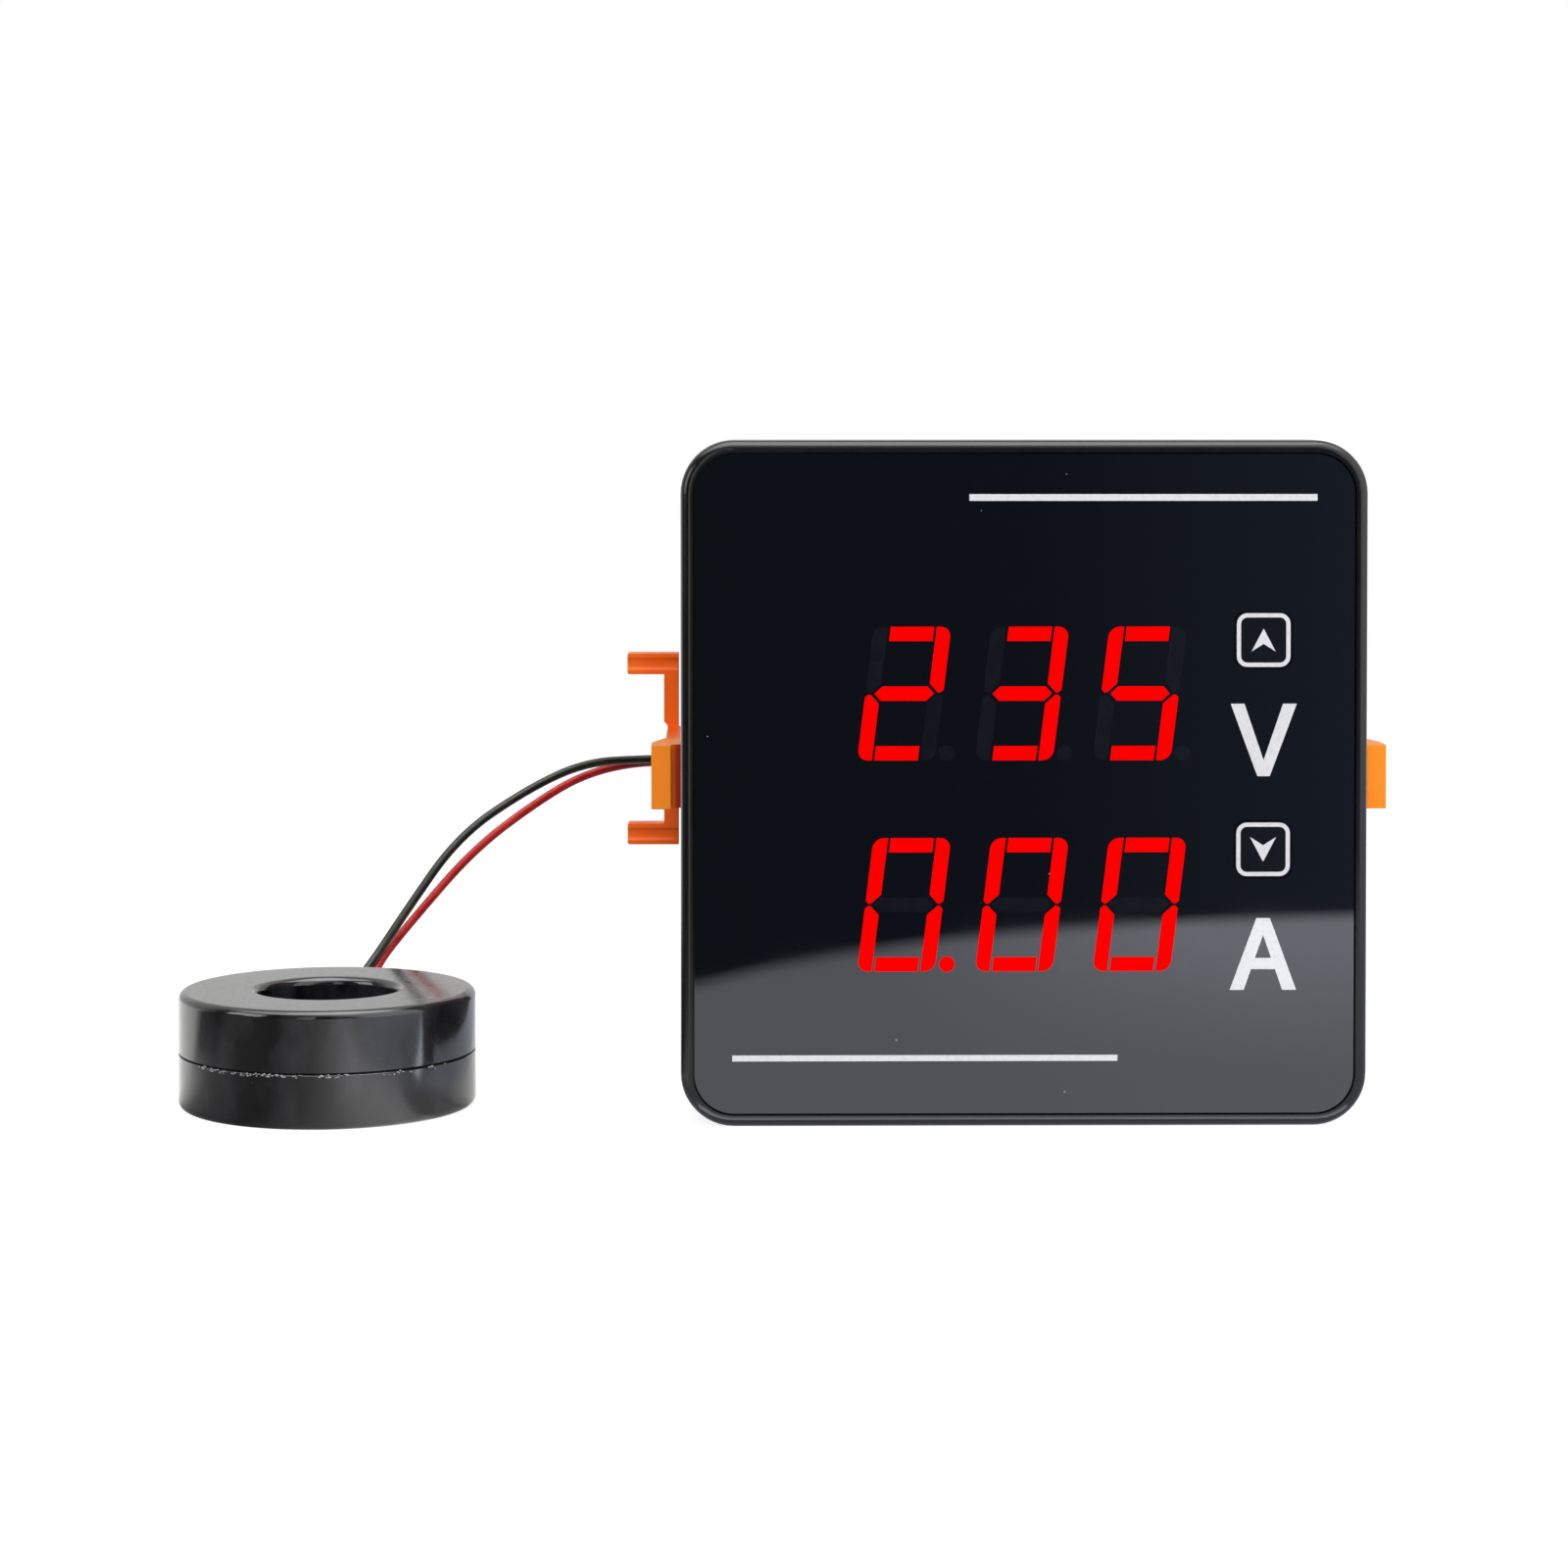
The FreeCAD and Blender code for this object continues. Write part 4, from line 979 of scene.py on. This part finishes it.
def ringMaterial():
    # glossy black moulding with fine scratches and a little dust
    base = linear(*ringSet["colour"])
    material, shader = startMaterial("ring black", base, ringSet["roughness"], ior=ringSet["ior"])
    scratches = noise(material, ringSet["scratchSize"], detail=6, stretch=ringSet["scratchStretch"])
    polish(material, shader, scratches, *ringSet["gloss"])
    clouds = noise(material, ringSet["cloudSize"], detail=5, stretch=ringSet["cloudStretch"])
    handled = mixColour(material, ramp(material, clouds, 0, 1, *ringSet["cloudSpan"]), base,
                        linear(*ringSet["clouds"]))
    dust = ramp(material, noise(material, ringSet["dustSize"], detail=6), 0, 1, *ringSet["dustSpan"])
    link(material, mixColour(material, dust, handled, linear(*ringSet["dust"])), shader.inputs["Base Color"])
    addBump(material, shader, noise(material, ringSet["rippleSize"], detail=2), ringSet["rippleDepth"])
    return material


def windingMaterial():
    # enamelled wire wound round the core
    material, shader = startMaterial("winding copper", linear(*windingSet["colour"]),
                                     windingSet["roughness"], metallic=windingSet["metallic"])
    turns = noise(material, windingSet["wire"], detail=1, stretch=windingSet["wireStretch"])
    paint(material, shader, ramp(material, turns, 0, 1), *windingSet["turns"])
    addBump(material, shader, turns, windingSet["depth"])
    return material


def ringMiddle():
    # the ring's middle and its radius, and the height of the seam
    low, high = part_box("ring_lower_shell")
    return (low + high) / 2 / mm, (high.x - low.x) / 2 / mm, high.z / mm


def makeSeam():
    # a dark matt band in the groove between the two halves of the ring: painted shade of the gap
    middle, radius, seam = ringMiddle()
    out = radius - seamSet["inset"]
    shape = bmesh.new()
    foot = shape.verts.new((middle.x + out, middle.y, seam))
    top = shape.verts.new((middle.x + out, middle.y, seam + seamSet["height"]))
    bmesh.ops.spin(shape, geom=[foot, top, shape.edges.new((foot, top))], cent=(middle.x, middle.y, 0),
                   axis=(0, 0, 1), angle=2 * math.pi, steps=seamSet["steps"], use_merge=True)
    millimetres(shape)
    gap, shader = startMaterial("seam shade", linear(*seamSet["colour"]), seamSet["roughness"])
    paint(gap, shader, ramp(gap, noise(gap, seamSet["patchSize"]), 0, 1), *seamSet["patches"])
    shader.inputs["Specular IOR Level"].default_value = seamSet["specular"]
    makePiece("seam_shade_band", shape, gap, "meter")


def makeGlue():
    # beads of dried glue that were pressed out along the seam
    middle, radius, seam = ringMiddle()
    shape = bmesh.new()
    for bead in range(glueSet["beads"]):
        stray = randomDraw.random() < glueSet["strayShare"]
        angle = math.radians(randomDraw.uniform(*glueSet["stray" if stray else "reach"]))
        length = randomDraw.uniform(*glueSet["length"])
        height = randomDraw.uniform(*glueSet["height"])
        drop = randomDraw.uniform(*glueSet["drop"])
        out = min(radius, (radius - glueSet["depth"]) / math.cos(angle))   # none stands in front of the ring
        place = (middle.x + out * math.sin(angle), middle.y - out * math.cos(angle), seam + drop)
        size = Matrix.Diagonal((length, glueSet["depth"], height, 1))
        moved = Matrix.Translation(place) @ Matrix.Rotation(angle, 4, "Z") @ size
        bmesh.ops.create_icosphere(shape, subdivisions=glueSet["fineness"], radius=1, matrix=moved)
    millimetres(shape)
    glue, shader = startMaterial("dried glue", linear(*glueSet["colour"]), glueSet["roughness"])
    paint(glue, shader, ramp(glue, noise(glue, glueSet["patchSize"]), 0, 1), *glueSet["patches"])
    makePiece("seam_glue", shape, glue, "meter")


makeSeam()
makeGlue()
dress(ringMaterial(), "ring_upper_shell", "ring_lower_shell")
dress(windingMaterial(), "ring_winding")
dressAll(plastic, ringPlastics)
print("ring is dressed")


# Floor, surroundings and lamps. Diffuse light comes from the lamps and an even world. What the
# gloss of the window and the ring mirrors is given apart: a table that ends, and a dim room.

tableSet = {
    "half": 1.6,                   # metres
    "colour": 0.36,
    "cameraGlow": 0.83,            # what the table adds for the camera, so that it reads white
    "edge": -176.0,                # for reflections the table ends here, and the room is seen past it
    "edgeSoft": 7.0,
    "bend": 72.0,                  # on the left it ends this much nearer the meter
    "bendStart": -34.5,
    "bendFall": 42.0,
    "tint": (0.94, 0.965, 1.1, 1),
    "levels": (0.76, 1.25),        # how bright it is in reflections, from left to right
    "levelSpan": (-12.0, 36.0),
    "nearSpan": (-140.0, -40.0),   # nearer the meter the right is only a little brighter
    "nearShare": 0.2,
    "footGlow": 4.0,               # it is brighter close to the frame's foot
    "footReach": (-13.0, -11.0),
    "shadowEnd": -8.3,
    "footHalf": 36.0,
}
ringSide = {
    "side": (-48.0, -40.0),        # left of this is the part of the table that the ring mirrors
    "tint": (1.0, 0.99, 0.98, 1),
    "span": (-110.0, 98.0),        # degrees round the ring from its front
    "shadeStart": (-105.0, -98.0),     # further out, the table is darker between these degrees
    "shadeEnd": (-80.0, -66.0),
    "shadeReach": (35.0, 58.0),
    "shadeDepth": 0.85,
}
ringLevels = {                     # degrees: how bright the table is there
    -110: 1.45,
    -94: 1.0,
    -80: 0.45,
    -70: 0.3,
    -58: 0.2,
    -30: 0.14,
    -15: 0.28,
    -4: 0.5,
    9: 0.85,
    22: 1.3,
    36: 1.4,
    48: 1.2,
    54: 0.6,
    78: 0.42,
    84: 0.7,
    98: 0.8,
}


def ringSurround(material, x, y):
    # how bright the table is round the ring, for reflections
    middle = ringMiddle()[0]
    across = mathNode(material, "SUBTRACT", x, middle.x)
    ahead = mathNode(material, "SUBTRACT", middle.y, y)
    angle = mathNode(material, "ARCTAN2", across, ahead)
    first, last = ringSide["span"]
    share = ramp(material, angle, 0, 1, math.radians(first), math.radians(last))
    levels = {value: (level, level, level, 1) for value, level in ringLevels.items()}
    around = colourRamp(material, share, (first, last), levels)
    away = mathNode(material, "POWER", mathNode(material, "ADD", mathNode(material, "POWER", across, 2.0),
                                                mathNode(material, "POWER", ahead, 2.0)), 0.5)
    shade = ramp(material, away, 0, ringSide["shadeDepth"], *ringSide["shadeReach"])
    for limits, low, high in ((ringSide["shadeStart"], 0, 1), (ringSide["shadeEnd"], 1, 0)):
        inside = ramp(material, angle, low, high, *(math.radians(limit) for limit in limits))
        shade = mathNode(material, "MULTIPLY", shade, inside)
    return mathNode(material, "MULTIPLY", around, mathNode(material, "SUBTRACT", 1.0, shade))


def onTable(material, x, y):
    # 1 on the table and 0 past its front edge, which bends towards the meter on the left
    along = mathNode(material, "MAXIMUM", mathNode(material, "SUBTRACT", x, tableSet["bendStart"]), 0.0)
    curve = mathNode(material, "EXPONENT", mathNode(material, "DIVIDE", along, -tableSet["bendFall"]))
    bend = mathNode(material, "MULTIPLY", curve, tableSet["bend"])
    inside = mathNode(material, "SUBTRACT", y, mathNode(material, "ADD", bend, tableSet["edge"]))
    return ramp(material, inside, 0, 1, -tableSet["edgeSoft"], tableSet["edgeSoft"])


def meterSurround(material, x, y):
    # how bright the table is in front of the meter, for reflections
    low, high = tableSet["levels"]
    extra = mathNode(material, "MULTIPLY", ramp(material, x, 0, high - low, *tableSet["levelSpan"]),
                     ramp(material, y, 1, tableSet["nearShare"], *tableSet["nearSpan"]))
    nearFoot = mathNode(material, "MULTIPLY", ramp(material, y, 0, 1, *tableSet["footReach"]),
                        mathNode(material, "LESS_THAN", y, tableSet["shadowEnd"]))
    aside = mathNode(material, "LESS_THAN", mathNode(material, "ABSOLUTE", x), tableSet["footHalf"])
    foot = mathNode(material, "MULTIPLY", nearFoot, aside)
    return mathNode(material, "ADD", mathNode(material, "ADD", extra, low),
                    mathNode(material, "MULTIPLY", foot, tableSet["footGlow"] - 1))


def tableGlow(material, x, y):
    # the table's colour in reflections
    ringPart = ramp(material, x, 1, 0, *ringSide["side"])
    level = mixColour(material, ringPart, meterSurround(material, x, y), ringSurround(material, x, y))
    glow = addNode(material, "ShaderNodeVectorMath", operation="SCALE")
    link(material, mixColour(material, ringPart, tableSet["tint"], ringSide["tint"]), glow.inputs[0])
    link(material, level, glow.inputs["Scale"])
    return glow.outputs[0]


def tableMaterial():
    # pale and matt. The camera sees it white, and reflections see where it ends.
    material = bpy.data.materials.new("pale floor")
    material.use_nodes = True
    tree = material.node_tree
    tree.nodes.remove(tree.nodes["Principled BSDF"])
    paths = addNode(material, "ShaderNodeLightPath")
    shade = tableSet["colour"]
    matt = addNode(material, "ShaderNodeBsdfDiffuse")
    matt.inputs["Color"].default_value = (shade, shade, shade, 1)
    white = addNode(material, "ShaderNodeEmission")
    link(material, mathNode(material, "MULTIPLY", paths.outputs["Is Camera Ray"], tableSet["cameraGlow"]),
         white.inputs["Strength"])
    plain = addNode(material, "ShaderNodeAddShader")
    link(material, matt.outputs[0], plain.inputs[0])
    link(material, white.outputs[0], plain.inputs[1])
    x, y = (mathNode(material, "DIVIDE", value, mm) for value in axesOf(material, objectPlace(material))[:2])
    mirrored = addNode(material, "ShaderNodeEmission")
    link(material, tableGlow(material, x, y), mirrored.inputs["Color"])
    clear = addNode(material, "ShaderNodeBsdfTransparent")
    ended = mixShader(material, onTable(material, x, y), clear.outputs[0], mirrored.outputs[0])
    seen = mixShader(material, paths.outputs["Is Glossy Ray"], plain.outputs[0], ended)
    link(material, seen, tree.nodes["Material Output"].inputs["Surface"])
    return material


def makeFloor():
    shape = bmesh.new()
    bmesh.ops.create_grid(shape, x_segments=2, y_segments=2, size=tableSet["half"])
    bmesh.ops.translate(shape, vec=(0, 0, tableZ), verts=shape.verts)
    mesh = bpy.data.meshes.new("floor")
    shape.to_mesh(mesh)
    shape.free()
    mesh.materials.append(tableMaterial())
    floor = bpy.data.objects.new("floor", mesh)
    scene.collection.objects.link(floor)


worldSet = {
    "level": 0.45,                 # light from all round on the object
    "behind": (0.85, 0.85, 0.84, 1),
    "behindSpan": (-0.1, 0.4),     # parts of the direction away from the front
    "left": (0.05, 0.05, 0.055, 1),
    "right": (1.45, 1.45, 1.41, 1),
    "sideSpan": (-0.3, 0.4),       # sideways parts of the direction
    "overhead": (3.3, 3.3, 3.3, 1),    # a soft box above and in front
    "overheadRise": (0.7, 0.8),
    "overheadAhead": (0.25, 0.1),
    "frontSpan": (-0.5, 0.3),      # sideways parts of the direction, for what lies in front
    "frontEdge": (-0.92, -0.8),    # and where it gives way to the sides
}
frontColours = {                   # sideways part: colour
    -0.5: (0.03, 0.03, 0.035, 1),
    -0.36: (0.03, 0.03, 0.035, 1),
    -0.28: (1.3, 1.3, 1.3, 1),     # a pale strip beside the window's view, which the left rim mirrors
    -0.12: (1.3, 1.3, 1.3, 1),
    -0.06: (0.02, 0.03, 0.045, 1),
    0.08: (0.024, 0.034, 0.055, 1),
    0.17: (0.062, 0.08, 0.125, 1),
}


def mirroredWorld(world):
    # the room that reflections see: a dim front, a dark left, a pale right and back, a bright top
    x, y, z = axesOf(world, addNode(world, "ShaderNodeTexCoord").outputs["Generated"])
    span = worldSet["frontSpan"]
    front = colourRamp(world, ramp(world, x, 0, 1, *span), span, frontColours)
    sides = mixColour(world, ramp(world, x, 0, 1, *worldSet["sideSpan"]), worldSet["left"], worldSet["right"])
    sided = mixColour(world, ramp(world, y, 0, 1, *worldSet["frontEdge"]), front, sides)
    around = mixColour(world, ramp(world, y, 0, 1, *worldSet["behindSpan"]), sided, worldSet["behind"])
    above = mathNode(world, "MULTIPLY", ramp(world, z, 0, 1, *worldSet["overheadRise"]),
                     ramp(world, y, 0, 1, *worldSet["overheadAhead"]))
    return mixColour(world, above, around, worldSet["overhead"])


def makeWorld():
    world = bpy.data.worlds.new("studio")
    world.use_nodes = True
    scene.world = world
    tree = world.node_tree
    light = tree.nodes["Background"]
    light.inputs["Color"].default_value = (1, 1, 1, 1)
    light.inputs["Strength"].default_value = worldSet["level"]
    mirrored = addNode(world, "ShaderNodeBackground")
    link(world, mirroredWorld(world), mirrored.inputs["Color"])
    white = addNode(world, "ShaderNodeBackground")
    white.inputs["Color"].default_value = (1, 1, 1, 1)
    paths = addNode(world, "ShaderNodeLightPath")
    lit = mixShader(world, paths.outputs["Is Glossy Ray"], light.outputs[0], mirrored.outputs[0])
    isSeen = mathNode(world, "MAXIMUM", paths.outputs["Is Camera Ray"], paths.outputs["Is Transmission Ray"])
    link(world, mixShader(world, isSeen, lit, white.outputs[0]), tree.nodes["World Output"].inputs["Surface"])


lampSet = {
    "top": {"place": (-20, -40, 430), "size": 320, "level": 0.35},
    "front": {"place": (-60, -640, 300), "size": 220, "level": 0.42, "mirrored": False},
    "right": {"place": (400, -220, 150), "size": 360, "level": 0.9, "mirrored": False},
    "left": {"place": (-420, -180, 150), "size": 220, "level": 0.2},
}


def makeLamp(name, settings):
    # level 1 lights a surface that faces the lamp as brightly as its colour is written
    light = bpy.data.lights.new("lamp_" + name, "AREA")
    light.shape = "SQUARE"
    light.size = settings["size"] * mm
    lamp = bpy.data.objects.new("lamp_" + name, light)
    lamp.location = [v * mm for v in settings["place"]]
    distance = lamp.location.length
    light.energy = settings["level"] * math.pi ** 2 * distance ** 2
    lamp.rotation_euler = (-lamp.location).to_track_quat("-Z", "Y").to_euler()
    lamp.visible_glossy = settings.get("mirrored", True)
    scene.collection.objects.link(lamp)


makeFloor()
makeWorld()
for lampName, lampSettings in lampSet.items():
    makeLamp(lampName, lampSettings)
print("floor, surroundings and lamps are set")
